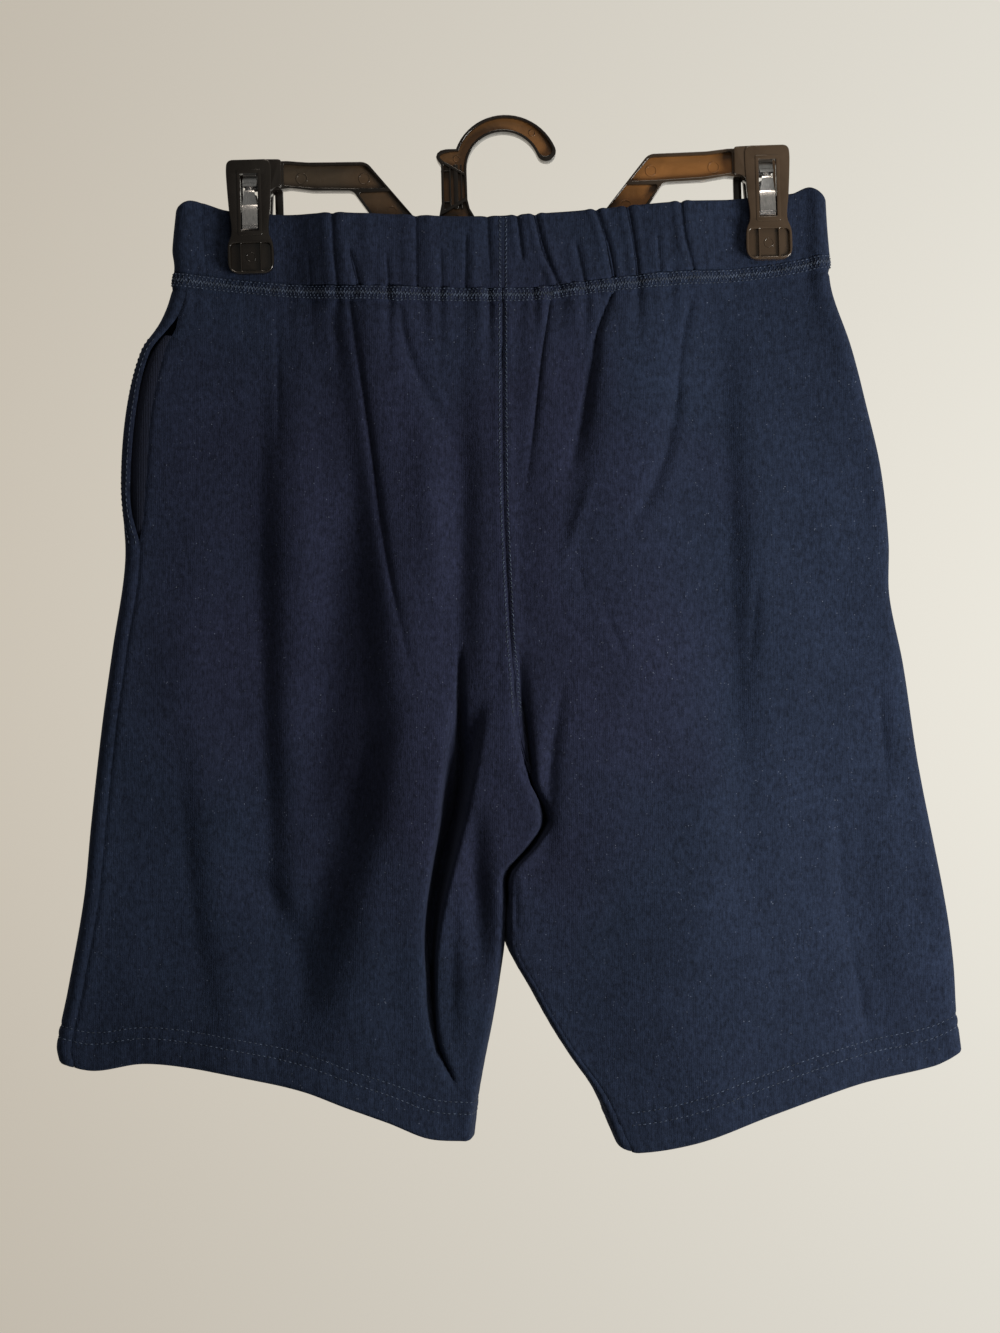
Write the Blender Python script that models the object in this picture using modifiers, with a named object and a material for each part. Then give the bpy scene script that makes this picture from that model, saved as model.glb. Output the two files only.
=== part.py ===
"""Lounge shorts held by the two clips of a moulded hanger.

Frame: metres, +Z up, +X to the viewer's right, -Y towards the back of the shorts, which is shown.
The origin is the inner crown of the hook, where the hanger rests on what carries it.
Sizes and tables are in millimetres, and MM turns them into metres.
Each leg's cloth is followed by a, the distance along it from the side silhouette: a grows over the
back, and a negative a lies on the front. A section is numbered v, 0 at the waist seam, 1 at the hem.
"""
import math

import bmesh
import bpy
from mathutils import Matrix, Vector

MM = 0.001
QUARTER = math.pi / 2

# ---------------------------------------------------------------- cloth sizes
FLEECE_WALL = 2.0
CASING_WALL = 3.0
BAG_WALL = 1.0
SEAM_GAP = 0.6
CROTCH_GAP = 0.3           # added to each side of a seam that lies in the turn of the cloth
WAIST_GAP = 0.3            # from the waist seam's line to the casing above and the panels below
SIDE_ROLL = 5.5            # radius at which the cloth turns at a side edge
INNER_ROLL = 3.5           # the same at the inner edge of a leg
PINCH_HALF_DEPTH = 1.75    # from the hanger's plane to the middle of each layer, inside a clip
PINCH_FLAT = 16.0          # to each side of a clip's middle, where the layers lie together
CASING_END_LEFT = -178.0
CASING_END_RIGHT = 176.0
CENTRE_FRONT_X = 0.5
VALLEY_TOP_Z = -335.0      # where the valley between the legs begins, above the crotch
CROTCH_Z = -406.0
CROTCH_ROW = 0.7           # the section that meets the crotch
BAG_OUTER = 2.6            # from the middle of the front panel's wall to the bag's outer layer
BAG_INNER = 4.3            # and to its inner layer

# ---------------------------------------------------------------- hanger sizes
HANGER_TILT = math.radians(1.6)
HANGER_MIDDLE_X = 2.5
CLIP_SPREAD = 139.9        # from the hanger's middle to the middle of each clip
CLIP_TOP_Z = -12.2
CLIP_GRIP_Z = -62.0
HANGER_HALF_DEPTH = 4.5
JAW_OUTER_Y = 9.5
JAW_INNER_Y = 5.3
PAD_INNER_Y = 3.6
PAD_TOP_Z = -44.0          # from the clip's top
PAD_MARGIN = 0.3           # from the jaw's outline to its grip pad's
WINDOW_HALF_WIDTH = 4.7
WINDOW_TOP_Z = -7.6        # from the clip's top
WINDOW_LOW_Z = -38.5
SHOULDER_INNER = 17.5      # from the clip's middle towards the hanger's middle
SHOULDER_OUTER = 8.0
SHOULDER_LOW_Z = -28.4
SHOULDER_TOP_Z = -12.8
SPRING_HALF_WIDTH = 4.2
SPRING_STRIP = 0.8
SPRING_BEND = 7.4          # radius of the bend, to the middle of the strip
SPRING_BEND_Z = -21.0      # from the clip's top
SPRING_LOW_Z = -38.0
HOOK_INNER_RADIUS = 19.8
HOOK_OUTER_RADIUS = 30.4
HOOK_BACK_RADIUS = 27.6    # the outer radius where the hook meets its shank
HOOK_START_ANGLE = 156.0
HOOK_TIP_ANGLE = 20.0
HOOK_STEPS = 16
BAR_TOP_Z = -54.5
BAR_LOW_Z = -68.0

# ---------------------------------------------------------------- sections of the cloth
# height z, x of the left silhouette
LEFT_EDGE = [
    (-38.0, -176.0), (-64.0, -179.0), (-76.0, -178.0), (-92.0, -181.0), (-104.5, -186.5),
    (-118.6, -196.0), (-149.5, -204.0), (-188.5, -207.0), (-231.8, -204.8), (-281.7, -211.8),
    (-321.0, -217.2), (-375.0, -223.2), (-416.0, -227.2), (-465.0, -235.8), (-495.0, -241.6),
    (-504.0, -240.0),
]

# height z, x of the right silhouette
RIGHT_EDGE = [
    (-34.0, 175.0), (-69.0, 177.2), (-86.7, 179.4), (-115.9, 189.6), (-149.5, 198.3),
    (-182.6, 205.8), (-221.6, 210.0), (-250.8, 210.4), (-288.2, 217.8), (-342.4, 226.0),
    (-416.0, 240.5), (-448.5, 245.0), (-481.0, 247.0), (-498.0, 249.2),
]

# height z, x of the centre back seam, down to the crotch
CENTRE_BACK = [
    (-35.0, 0.5), (-188.5, 0.8), (-255.7, 3.6), (-292.0, 5.6), (-323.4, 8.0), (-350.0, 15.0),
    (-372.0, 23.0), (-386.0, 15.0), (-399.0, 3.0), (-406.0, 1.2),
]

# height z, x of each leg's inner silhouette
LEFT_INNER = [
    (-406.0, 1.2), (-438.0, 1.2), (-462.0, -1.6), (-481.6, -4.9), (-503.2, -9.2),
    (-528.2, -13.5), (-543.0, -15.0),
]
RIGHT_INNER = [
    (-406.0, 1.2), (-438.0, 1.6), (-462.6, 14.6), (-483.0, 26.0), (-499.0, 36.3),
    (-516.2, 48.2), (-546.0, 61.5),
]

# height z, a of the pocket mouth's outer edge, a of the side seam
LEFT_SIDE_SEAM = [
    (-60.0, 10.1, 11.0), (-99.0, 10.1, 11.0), (-107.0, 8.8, 13.6), (-122.0, 7.6, 16.2),
    (-149.0, 8.2, 17.0), (-184.0, 8.0, 17.2), (-205.0, 7.6, 14.8), (-216.0, 9.2, 12.4),
    (-222.0, 10.4, 11.0), (-510.0, 10.4, 11.0),
]
RIGHT_SIDE_SEAM = [
    (-60.0, -11.6, -11.0), (-112.0, -11.6, -11.0), (-122.0, -13.5, -10.0), (-137.0, -16.0, -9.2),
    (-170.0, -16.4, -9.0), (-225.0, -15.0, -9.6), (-242.0, -12.6, -10.6), (-250.0, -11.6, -11.0),
    (-510.0, -11.6, -11.0),
]

# height z, cloth from the inseam to the leg's inner silhouette; negative where it lies in front
LEFT_INSEAM = [(-406.0, 0.0), (-417.0, -2.5), (-438.0, -6.0), (-543.0, -6.4)]
RIGHT_INSEAM = [(-406.0, 0.0), (-417.0, 2.5), (-438.0, 6.0), (-484.0, 6.6), (-546.0, 9.0)]

# x, height z of the casing's top edge
CASING_TOP = [
    (-178.0, -46.0), (-174.0, -39.5), (-166.8, -37.4), (-149.0, -42.3), (-124.0, -44.4),
    (-89.0, -45.0), (-14.6, -47.4), (39.0, -44.4), (97.0, -38.8), (129.5, -35.8),
    (157.0, -33.0), (166.3, -29.8), (172.3, -33.0), (176.0, -39.0),
]

# x, height z of the seam between the casing and the panels
WAIST_SEAM = [
    (-180.0, -76.0), (-147.0, -79.6), (-96.4, -84.0), (-41.0, -86.1), (16.8, -86.1),
    (46.0, -82.6), (89.0, -77.5), (140.0, -72.6), (178.0, -66.0),
]

# share of the way from side to inner edge, fall of the hem below a straight line
LEFT_HEM_DROP = [
    (0.0, 0.0), (0.08, 2.0), (0.2, -5.0), (0.32, -7.0), (0.47, -6.5), (0.6, -4.5), (0.7, 0.0),
    (0.8, 4.5), (0.9, 5.0), (1.0, 0.0),
]
RIGHT_HEM_DROP = [
    (0.0, 0.0), (0.08, 4.9), (0.31, 6.0), (0.55, 8.7), (0.78, 11.9), (0.94, 6.5), (1.0, 0.0),
]

# height z, depth of the back layer and of the front layer from the hanger's plane
LAYER_DEPTH = [
    (-30.0, 12.0, 11.0), (-85.0, 15.0, 12.0), (-120.0, 20.0, 15.0), (-180.0, 25.0, 19.0),
    (-260.0, 29.0, 22.0), (-340.0, 31.0, 24.0), (-420.0, 30.0, 23.0), (-500.0, 27.0, 21.0),
    (-550.0, 26.0, 20.0),
]

# height z, strength of the clips' pinch, its reach beyond the flat stretch
CLIP_PINCH = [
    (-30.0, 1.0, 11.0), (-77.0, 1.0, 12.0), (-110.0, 0.7, 22.0), (-150.0, 0.35, 32.0),
    (-230.0, 0.0, 45.0),
]

# Soft folds: layer, z at the top, z at the end, x at four even steps between them,
# half width, depth into the shorts (negative on a ridge)
DEEP_FOLD = ("back", -285.0, -520.0, -16.0, -22.0, -41.0, -26.0, 8.5, 21.0)
FOLDS = [
    DEEP_FOLD,
    ("back", -88.0, -310.0, -122.0, -120.0, -121.0, -126.0, 9.0, 4.5),
    ("back", -90.0, -300.0, -82.0, -73.0, -63.0, -49.0, 10.0, 6.0),
    ("back", -105.0, -320.0, -14.0, -13.0, -14.0, -18.0, 9.0, 4.0),
    ("back", -300.0, -500.0, -62.0, -78.0, -98.0, -112.0, 15.0, 5.0),
    ("back", -350.0, -505.0, -172.0, -164.0, -157.0, -150.0, 13.0, 4.0),
    ("back", -88.0, -200.0, 26.0, 20.0, 16.0, 13.0, 6.0, 3.0),
    ("back", -90.0, -200.0, 56.0, 49.0, 42.0, 32.0, 8.0, 4.0),
    ("back", -86.0, -215.0, 101.0, 98.0, 92.0, 72.0, 8.0, 4.5),
    ("back", -84.0, -300.0, 125.0, 128.0, 131.0, 135.0, 15.0, 4.5),
    ("back", -285.0, -350.0, 13.0, 14.5, 16.0, 17.0, 5.5, 6.0),
    ("back", -325.0, -425.0, 29.0, 27.5, 25.0, 17.0, 6.5, 5.0),
    ("back", -350.0, -500.0, 190.0, 193.0, 197.0, 203.0, 14.0, 3.5),
    ("back", -330.0, -500.0, 118.0, 112.0, 108.0, 106.0, 20.0, -3.0),
    ("front", -90.0, -320.0, -118.0, -112.0, -110.0, -104.0, 11.0, 4.0),
    ("front", -90.0, -260.0, -58.0, -52.0, -44.0, -34.0, 10.0, 4.0),
    ("front", -90.0, -280.0, 48.0, 44.0, 38.0, 34.0, 10.0, 4.0),
    ("front", -86.0, -330.0, 116.0, 118.0, 112.0, 108.0, 13.0, 4.5),
    ("front", -300.0, -500.0, -62.0, -72.0, -84.0, -92.0, 13.0, 5.0),
    ("front", -310.0, -500.0, 74.0, 84.0, 98.0, 106.0, 13.0, 5.0),
]

# ---------------------------------------------------------------- the panels' grids
PANEL_ROWS = [
    0.0, 0.03, 0.055, 0.08, 0.13, 0.19, 0.25, 0.305, 0.342, 0.40, 0.47, 0.53, 0.58, 0.62, 0.65, 0.68,
    CROTCH_ROW, 0.725, 0.77, 0.84, 0.92, 1.0,
]
BAG_ROWS = [0.08, 0.13, 0.19, 0.25, 0.305, 0.342, 0.40, 0.47, 0.53]
LEFT_BAG_COLUMNS = 11      # columns of the front panel that a bag lies behind
RIGHT_BAG_COLUMNS = 6
# distances from a seam, along the cloth, of the columns beside it
FLAT_STEPS = [0.0, 1.0, 6.0]
SIDE_STEPS = [0.0, 1.0, 4.5, 8.0, 11.5, 15.0, 19.0, 23.0]
INNER_STEPS = [0.0, 1.0, 3.75, 6.5, 9.25, 12.0, 16.0]
# shares of the cloth between them at which the other columns lie
DEEP_FOLD_COLUMN = 0.87
BACK_LEFT_SHARES = [
    0.0, 0.07, 0.14, 0.21, 0.28, 0.35, 0.42, 0.49, 0.56, 0.63, 0.70, 0.76, 0.80, 0.83, 0.85,
    DEEP_FOLD_COLUMN, 0.89, 0.91, 0.94, 0.97, 1.0,
]
BACK_RIGHT_SHARES = [
    0.0, 0.08, 0.16, 0.24, 0.32, 0.40, 0.48, 0.56, 0.63, 0.70, 0.77, 0.84, 0.92, 1.0,
]
FRONT_SHARES = [0.0, 0.11, 0.23, 0.36, 0.49, 0.62, 0.75, 0.88, 1.0]

# distances from the casing's end, along the cloth, and shares of the casing's height
CASING_STEPS = [
    0.0, 2.9, 5.8, 8.7, 14.0, 21.0, 28.0, 38.0, 49.0, 58.0, 66.0, 76.0, 90.0, 110.0, 138.0, 168.0,
]
CASING_HEIGHTS = [0.0, 0.3, 0.65, 1.0]

# ---------------------------------------------------------------- hanger outlines
# the right arm's edges: x from the hanger's middle, height z
ARM_UPPER = [
    (43.0, BAR_TOP_Z), (52.0, -44.0), (73.5, -17.5), (76.0, -15.2), (79.5, -14.0), (124.0, -13.0),
]
ARM_LOWER = [
    (124.0, -29.0), (88.0, -29.0), (84.5, -29.8), (82.0, -32.0), (75.0, -43.0), (64.0, -62.0),
    (58.0, BAR_LOW_Z),
]
# the shank's two sides and the knob at the hook's back: x, height z
SHANK_LEFT = [(-37.5, BAR_TOP_Z), (-35.2, -45.5), (-33.6, -38.0), (-33.6, -17.0)]
SHANK_KNOB = [(-35.6, -13.6), (-35.2, -10.6), (-31.5, -8.6)]
SHANK_RIGHT = [(-HOOK_INNER_RADIUS, -40.0), (-15.5, -46.5), (-9.0, BAR_TOP_Z)]
# a clip: height from its top, half width
CLIP_PROFILE = [
    (0.0, 9.5), (-0.8, 11.2), (-2.6, 12.0), (-8.0, 12.2), (-26.0, 11.0), (-36.0, 10.1),
    (-41.0, 10.3), (-44.0, 12.0), (-46.0, 12.4), (-56.5, 12.4), (-59.5, 11.2), (-61.0, 9.2),
    (-61.5, 7.0),
]

# ---------------------------------------------------------------- colours
NAVY = (0.021, 0.029, 0.056, 1.0)
BAG_NAVY = (0.016, 0.022, 0.042, 1.0)
MOULDED_BLACK = (0.022, 0.017, 0.013, 1.0)
SPRING_STEEL = (0.62, 0.62, 0.63, 1.0)
CLOTH_ROUGHNESS = 0.95
GLOSS_ROUGHNESS = 0.25


# ---------------------------------------------------------------- reading the tables
def smooth(share):
    """An even S-curve from 0 to 1."""
    share = min(1.0, max(0.0, share))
    return share * share * (3.0 - 2.0 * share)


def mix(low, high, share):
    return low + (high - low) * share


def value_at(table, key, column=1):
    """Value of one column at a key, on a smooth curve through the table's rows."""
    rows = table if table[0][0] < table[-1][0] else table[::-1]
    if key <= rows[0][0]:
        return rows[0][column]
    if key >= rows[-1][0]:
        return rows[-1][column]
    index = next(i for i in range(len(rows) - 1) if key <= rows[i + 1][0])
    slopes = []
    for at in (index, index + 1):
        before = rows[max(at - 1, 0)]
        after = rows[min(at + 1, len(rows) - 1)]
        slopes.append((after[column] - before[column]) / (after[0] - before[0]))
    low, high = rows[index], rows[index + 1]
    span = high[0] - low[0]
    t = (key - low[0]) / span
    ends = (2 * t**3 - 3 * t**2 + 1) * low[column] + (3 * t**2 - 2 * t**3) * high[column]
    bends = (t**3 - 2 * t**2 + t) * slopes[0] + (t**3 - t**2) * slopes[1]
    return ends + bends * span


# ---------------------------------------------------------------- the cloth's shape
def clip_middles():
    """The x of both clips at the height of their grip, on the tilted hanger."""
    lean = -CLIP_GRIP_Z * math.sin(HANGER_TILT)
    reach = CLIP_SPREAD * math.cos(HANGER_TILT)
    return HANGER_MIDDLE_X + lean - reach, HANGER_MIDDLE_X + lean + reach


def clip_pinch(x, z):
    """1 where a clip holds the layers together, falling to 0 beside and below it."""
    nearest = min(abs(x - middle) for middle in clip_middles())
    beyond = max(0.0, nearest - PINCH_FLAT) / value_at(CLIP_PINCH, z, 2)
    return value_at(CLIP_PINCH, z, 1) * math.exp(-beyond * beyond)


def fold_middle(fold, z):
    """The x of a fold's bottom at one height."""
    _, top, end, *route, _, _ = fold
    share = (top - z) / (top - end)
    return value_at([(step / (len(route) - 1), x) for step, x in enumerate(route)], share)


def fold_depth(layer, x, z):
    """How far the folds push the cloth into the shorts at one place."""
    depth = 0.0
    for fold in FOLDS:
        name, top, end = fold[:3]
        half_width, amount = fold[-2:]
        if name == layer and end < z < top:
            share = (top - z) / (top - end)
            across = (x - fold_middle(fold, z)) / half_width
            depth += amount * math.sin(math.pi * share) ** 0.7 * math.exp(-across * across)
    return depth


def full_depth(layer, z):
    """Greatest distance of one layer from the hanger's plane at a height."""
    return value_at(LAYER_DEPTH, z, 1 if layer == "back" else 2)


def panel_depth(layer, x, z, u, leg, round_off):
    """Distance of one layer from the hanger's plane, a share u of the way across a section."""
    rise = smooth(u / 0.55)
    fall = mix(1.0, smooth((1 - u) / 0.4), leg)
    crown = (full_depth(layer, z) - SIDE_ROLL) * rise * fall
    folds = fold_depth(layer, x, z) * smooth(min(u, 1.0 - leg * u) * 12 + 0.3)
    open_depth = (SIDE_ROLL + crown - folds) * round_off
    pinch = clip_pinch(x, z) * smooth(u * 14)
    return mix(open_depth, PINCH_HALF_DEPTH, pinch)


def rolled(distance, radius):
    """How far inward a length of cloth reaches from the edge it turns round, and its turn."""
    angle = min(distance / radius, QUARTER)
    return radius * (1 - math.cos(angle)) + max(0.0, distance - radius * QUARTER), math.sin(angle)


class Side:
    """One half of the shorts: its silhouette, its seams and its hem."""

    def __init__(self, way, edge, inner, side_seam, inseam, hem_drop):
        self.way = way                  # +1 where x grows from the side edge to the centre
        self.edge = edge
        self.inner = inner
        self.side_seam = side_seam
        self.inseam = inseam
        self.hem_drop = hem_drop
        self.z_hem_side = edge[-1][0]
        self.z_hem_inner = inner[-1][0]
        self.z_waist_side = value_at(WAIST_SEAM, edge[2][1])
        self.z_waist_inner = value_at(WAIST_SEAM, CENTRE_FRONT_X)

    def legness(self, z):
        """0 above the valley between the legs, 1 where this leg is a tube of its own."""
        return smooth((VALLEY_TOP_Z - z) / (VALLEY_TOP_Z - CROTCH_Z))

    def inner_x(self, layer, z):
        """Middle of the wall at the centre seam, or at the leg's inner edge."""
        if z <= CROTCH_Z:
            line = value_at(self.inner, z)
        elif layer == "back":
            line = value_at(CENTRE_BACK, z)
        else:
            line = CENTRE_FRONT_X
        apart = SEAM_GAP / 2 + (FLEECE_WALL / 2 + 0.1) * min(1.0, 2.2 * self.legness(z))
        return line - self.way * apart

    def edge_x(self, z, wall=FLEECE_WALL):
        """Middle of the wall at the side silhouette."""
        return value_at(self.edge, z) + self.way * wall / 2

    def row(self, layer, v):
        """One section: heights and places of its two ends, its legness and its cloth length."""
        z_side = mix(self.z_waist_side, self.z_hem_side, v)
        if v <= CROTCH_ROW:
            z_inner = mix(self.z_waist_inner, CROTCH_Z, v / CROTCH_ROW)
        else:
            z_inner = mix(CROTCH_Z, self.z_hem_inner, (v - CROTCH_ROW) / (1 - CROTCH_ROW))
        x_side = self.edge_x(z_side)
        x_inner = self.inner_x(layer, z_inner)
        leg = self.legness(z_inner)
        turns = (QUARTER - 1) * (SIDE_ROLL + leg * INNER_ROLL)
        return z_side, z_inner, x_side, x_inner, leg, abs(x_inner - x_side) + turns

    def drop(self, u, v, x):
        """Fall of a section below its own straight line."""
        line = mix(self.z_waist_side, self.z_waist_inner, u)
        waist = value_at(WAIST_SEAM, x) - line
        return waist * (1 - smooth(v / 0.3)) - value_at(self.hem_drop, u) * v**3

    def point(self, a, v, layer="back"):
        """Middle of the wall at a and v; past either edge it lies on the other layer."""
        length = self.row(layer, v)[5]
        if a < 0 or a > length:
            layer = "front" if layer == "back" else "back"
            a = -a if a < 0 else self.row(layer, v)[5] - (a - length)
        z_side, z_inner, x_side, x_inner, leg, length = self.row(layer, v)
        from_side, side_turn = rolled(a, SIDE_ROLL)
        from_inner, inner_turn = rolled(length - a, INNER_ROLL)
        if a < length / 2:
            x = x_side + self.way * from_side
        else:
            x = x_inner - self.way * mix(length - a, from_inner, leg)
        u = min(1.0, abs((x - x_side) / (x_inner - x_side)))
        z = mix(z_side, z_inner, u) + self.drop(u, v, x)
        depth = panel_depth(layer, x, z, u, leg, side_turn * mix(1.0, inner_turn, leg))
        return Vector((x, -depth if layer == "back" else depth, z))

    def inside(self, a, v, inset):
        """A place an inset away from the wall's middle, towards the hollow of the shorts."""
        along = self.point(a + 0.4, v) - self.point(a - 0.4, v)
        down = self.point(a, v + 0.002) - self.point(a, v - 0.002)
        return self.point(a, v) + along.cross(down).normalized() * self.way * inset


LEFT = Side(1, LEFT_EDGE, LEFT_INNER, LEFT_SIDE_SEAM, LEFT_INSEAM, LEFT_HEM_DROP)
RIGHT = Side(-1, RIGHT_EDGE, RIGHT_INNER, RIGHT_SIDE_SEAM, RIGHT_INSEAM, RIGHT_HEM_DROP)


# ---------------------------------------------------------------- building helpers
def clear_scene():
    for found in list(bpy.data.objects):
        bpy.data.objects.remove(found, do_unlink=True)


def new_collection(name):
    collection = bpy.data.collections.new(name)
    bpy.context.scene.collection.children.link(collection)
    return collection


def principled(name, colour, roughness, metallic=0.0):
    material = bpy.data.materials.new(name)
    material.use_nodes = True
    shader = material.node_tree.nodes["Principled BSDF"]
    shader.inputs["Base Color"].default_value = colour
    shader.inputs["Roughness"].default_value = roughness
    shader.inputs["Metallic"].default_value = metallic
    return material


def add_object(name, mesh, collection, material):
    item = bpy.data.objects.new(name, mesh)
    collection.objects.link(item)
    mesh.materials.append(material)
    return item


def sheet_object(name, rows, wall, collection, material, closed=False):
    """A sheet from rows of points on its middle, given its wall by Solidify."""
    across = len(rows[0])
    points = [Vector(point) * MM for row in rows for point in row]
    faces = []
    for j in range(len(rows) - 1):
        for i in range(across if closed else across - 1):
            following = (i + 1) % across
            faces.append((j * across + i, j * across + following,
                          (j + 1) * across + following, (j + 1) * across + i))
    mesh = bpy.data.meshes.new(name)
    mesh.from_pydata(points, [], faces)
    item = add_object(name, mesh, collection, material)
    wall_modifier = item.modifiers.new("wall", "SOLIDIFY")
    wall_modifier.thickness = wall * MM
    wall_modifier.offset = 0.0
    wall_modifier.use_quality_normals = True
    mesh.shade_smooth()
    mesh.set_sharp_from_angle(angle=math.radians(50))
    return item


def flat_plate(name, outline, y_low, y_high):
    """A mesh of a flat outline in the XZ plane, between two depths."""
    curve = bpy.data.curves.new(name, "CURVE")
    curve.dimensions = "2D"
    curve.fill_mode = "BOTH"
    curve.extrude = (y_high - y_low) / 2 * MM
    spline = curve.splines.new("POLY")
    spline.points.add(len(outline) - 1)
    for spot, (x, z) in zip(spline.points, outline):
        spot.co = (x * MM, z * MM, 0.0, 1.0)
    spline.use_cyclic_u = True
    drawn = bpy.data.objects.new(name, curve)
    bpy.context.scene.collection.objects.link(drawn)
    mesh = bpy.data.meshes.new_from_object(drawn.evaluated_get(bpy.context.evaluated_depsgraph_get()))
    bpy.data.objects.remove(drawn, do_unlink=True)
    upright = Matrix.Rotation(QUARTER, 4, "X")
    mesh.transform(Matrix.Translation((0, (y_low + y_high) / 2 * MM, 0)) @ upright)
    edit = bmesh.new()
    edit.from_mesh(mesh)
    bmesh.ops.remove_doubles(edit, verts=edit.verts, dist=0.000001)
    bmesh.ops.dissolve_limit(edit, angle_limit=0.001, verts=edit.verts, edges=edit.edges)
    bmesh.ops.recalc_face_normals(edit, faces=edit.faces)
    edit.to_mesh(mesh)
    edit.free()
    return mesh


def shape_with(item, tool_mesh, name, cutters, operation):
    """Join a shape to an object or cut it away, keeping the shape as a guide."""
    tool = bpy.data.objects.new(name, tool_mesh)
    cutters.objects.link(tool)
    tool.hide_render = True
    tool.display_type = "WIRE"
    tool.parent = item
    boolean = item.modifiers.new(name, "BOOLEAN")
    boolean.operation = operation
    boolean.object = tool
    boolean.solver = "EXACT"


# ---------------------------------------------------------------- the shorts
def stations(start, end, first_steps, shares, last_steps):
    """Places of a panel's columns along its cloth: close beside the seams, then by shares."""
    low, high = start + first_steps[-1], end - last_steps[-1]
    first = [start + step for step in first_steps[:-1]]
    last = [end - step for step in last_steps[-2::-1]]
    return first + [mix(low, high, share) for share in shares] + last


def beside_fold(shares, start, end, v):
    """Shares moved so that the columns keep beside the deep fold of the left leg."""
    z_side, z_inner, x_side, _, _, _ = LEFT.row("back", v)
    fold_x = fold_middle(DEEP_FOLD, mix(z_side, z_inner, DEEP_FOLD_COLUMN))
    fold_a = fold_x - x_side + (QUARTER - 1) * SIDE_ROLL
    low, high = start + FLAT_STEPS[-1], end - INNER_STEPS[-1]
    line = min(0.97, (fold_a - low) / (high - low))
    before, after = line / DEEP_FOLD_COLUMN, (1 - line) / (1 - DEEP_FOLD_COLUMN)
    return [share * before if share < DEEP_FOLD_COLUMN else 1 - (1 - share) * after for share in shares]


def panel_ends(side, layer, v):
    """Where a panel's cloth starts, at the side seam, and ends, at the centre seam or inseam."""
    z_side, z_inner, _, _, leg, length = side.row(layer, v)
    inseam = value_at(side.inseam, z_inner)
    on_turn = leg * (1 - min(1.0, abs(inseam / side.inseam[-1][1])))
    gap = SEAM_GAP / 2 + CROTCH_GAP * on_turn
    if layer == "back":
        return value_at(side.side_seam, z_side, 2), length - inseam - gap
    return -value_at(side.side_seam, z_side, 1), length + inseam - gap


def front_stations(side, v):
    start, end = panel_ends(side, "front", v)
    if side is LEFT:
        return stations(start, end, SIDE_STEPS, FRONT_SHARES, FLAT_STEPS)
    return stations(start, end, FLAT_STEPS, FRONT_SHARES, INNER_STEPS)


def back_stations(side, v):
    start, end = panel_ends(side, "back", v)
    if side is LEFT:
        shares = beside_fold(BACK_LEFT_SHARES, start, end, v)
        return stations(start, end, FLAT_STEPS, shares, INNER_STEPS)
    return stations(start, end, SIDE_STEPS, BACK_RIGHT_SHARES, FLAT_STEPS)


def panel(name, side, layer, collection, material):
    """One quarter of the shorts, from side seam to centre seam and inseam, waist to hem."""
    rows = []
    for v in PANEL_ROWS:
        places = back_stations(side, v) if layer == "back" else front_stations(side, v)
        row = [side.point(a, v, layer) for a in places]
        if v == 0.0:
            row = [point - Vector((0, 0, WAIST_GAP)) for point in row]
        from_left = (side is LEFT) == (layer == "back")
        rows.append(row if from_left else row[::-1])
    return sheet_object(name, rows, FLEECE_WALL, collection, material)


def casing_loop(height):
    """One closed ring of the casing, from its lower seam (0) to its top edge (1)."""
    back = [(LEFT, step) for step in CASING_STEPS] + [(RIGHT, step) for step in CASING_STEPS[::-1]]
    front = [mark for mark in back[::-1] if mark[1] > 0.0]
    half_span = (CASING_END_RIGHT - CASING_END_LEFT) / 2
    middle = (CASING_END_RIGHT + CASING_END_LEFT) / 2
    ring = []
    for layer, marks in (("back", back), ("front", front)):
        for side, step in marks:
            inward, turn = rolled(step, SIDE_ROLL)
            x = side.edge_x(mix(-78.0, -45.0, height), CASING_WALL) + side.way * inward
            z = mix(value_at(WAIST_SEAM, x) + WAIST_GAP, value_at(CASING_TOP, x), height)
            u = 1 - abs(x - middle) / half_span
            open_depth = SIDE_ROLL * turn + (full_depth(layer, z) - SIDE_ROLL) * smooth(u / 0.55)
            depth = mix(open_depth, PINCH_HALF_DEPTH, clip_pinch(x, z) * smooth(u * 14))
            ring.append(Vector((x, -depth if layer == "back" else depth, z)))
    return ring


def waistband(collection, material):
    rows = [casing_loop(height) for height in CASING_HEIGHTS]
    return sheet_object("waistband", rows, CASING_WALL, collection, material, closed=True)


def pocket_bag(name, side, columns, collection, material):
    """Facing that shows in the pocket's mouth, and the bag that hangs behind the front panel."""
    rows = []
    for v in BAG_ROWS:
        z_side = side.row("front", v)[0]
        edge, seam = value_at(side.side_seam, z_side, 1), value_at(side.side_seam, z_side, 2)
        shut = 1.0 - smooth((seam - edge - SEAM_GAP) / 4.0)
        first = seam - SEAM_GAP
        behind = [-place for place in front_stations(side, v)[:columns]]
        route = [(first, BAG_INNER * shut), (mix(behind[1], first, 0.55), mix(0.3, BAG_INNER, shut))]
        route += [(a, BAG_INNER) for a in behind[1:]]
        route += [(behind[-1] - 1.0, (BAG_INNER + BAG_OUTER) / 2)]
        route += [(a, BAG_OUTER) for a in behind[:2:-1]]
        row = [side.inside(a, v, inset) for a, inset in route]
        rows.append(row if side is RIGHT else row[::-1])
    return sheet_object(name, rows, BAG_WALL, collection, material)


# ---------------------------------------------------------------- the hanger
def arc(centre_x, centre_z, start_radius, end_radius, start, end, steps):
    """Points round an arc, its angles in degrees."""
    points = []
    for step in range(steps + 1):
        angle = math.radians(mix(start, end, step / steps))
        radius = mix(start_radius, end_radius, step / steps)
        points.append((centre_x + radius * math.cos(angle), centre_z + radius * math.sin(angle)))
    return points


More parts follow.
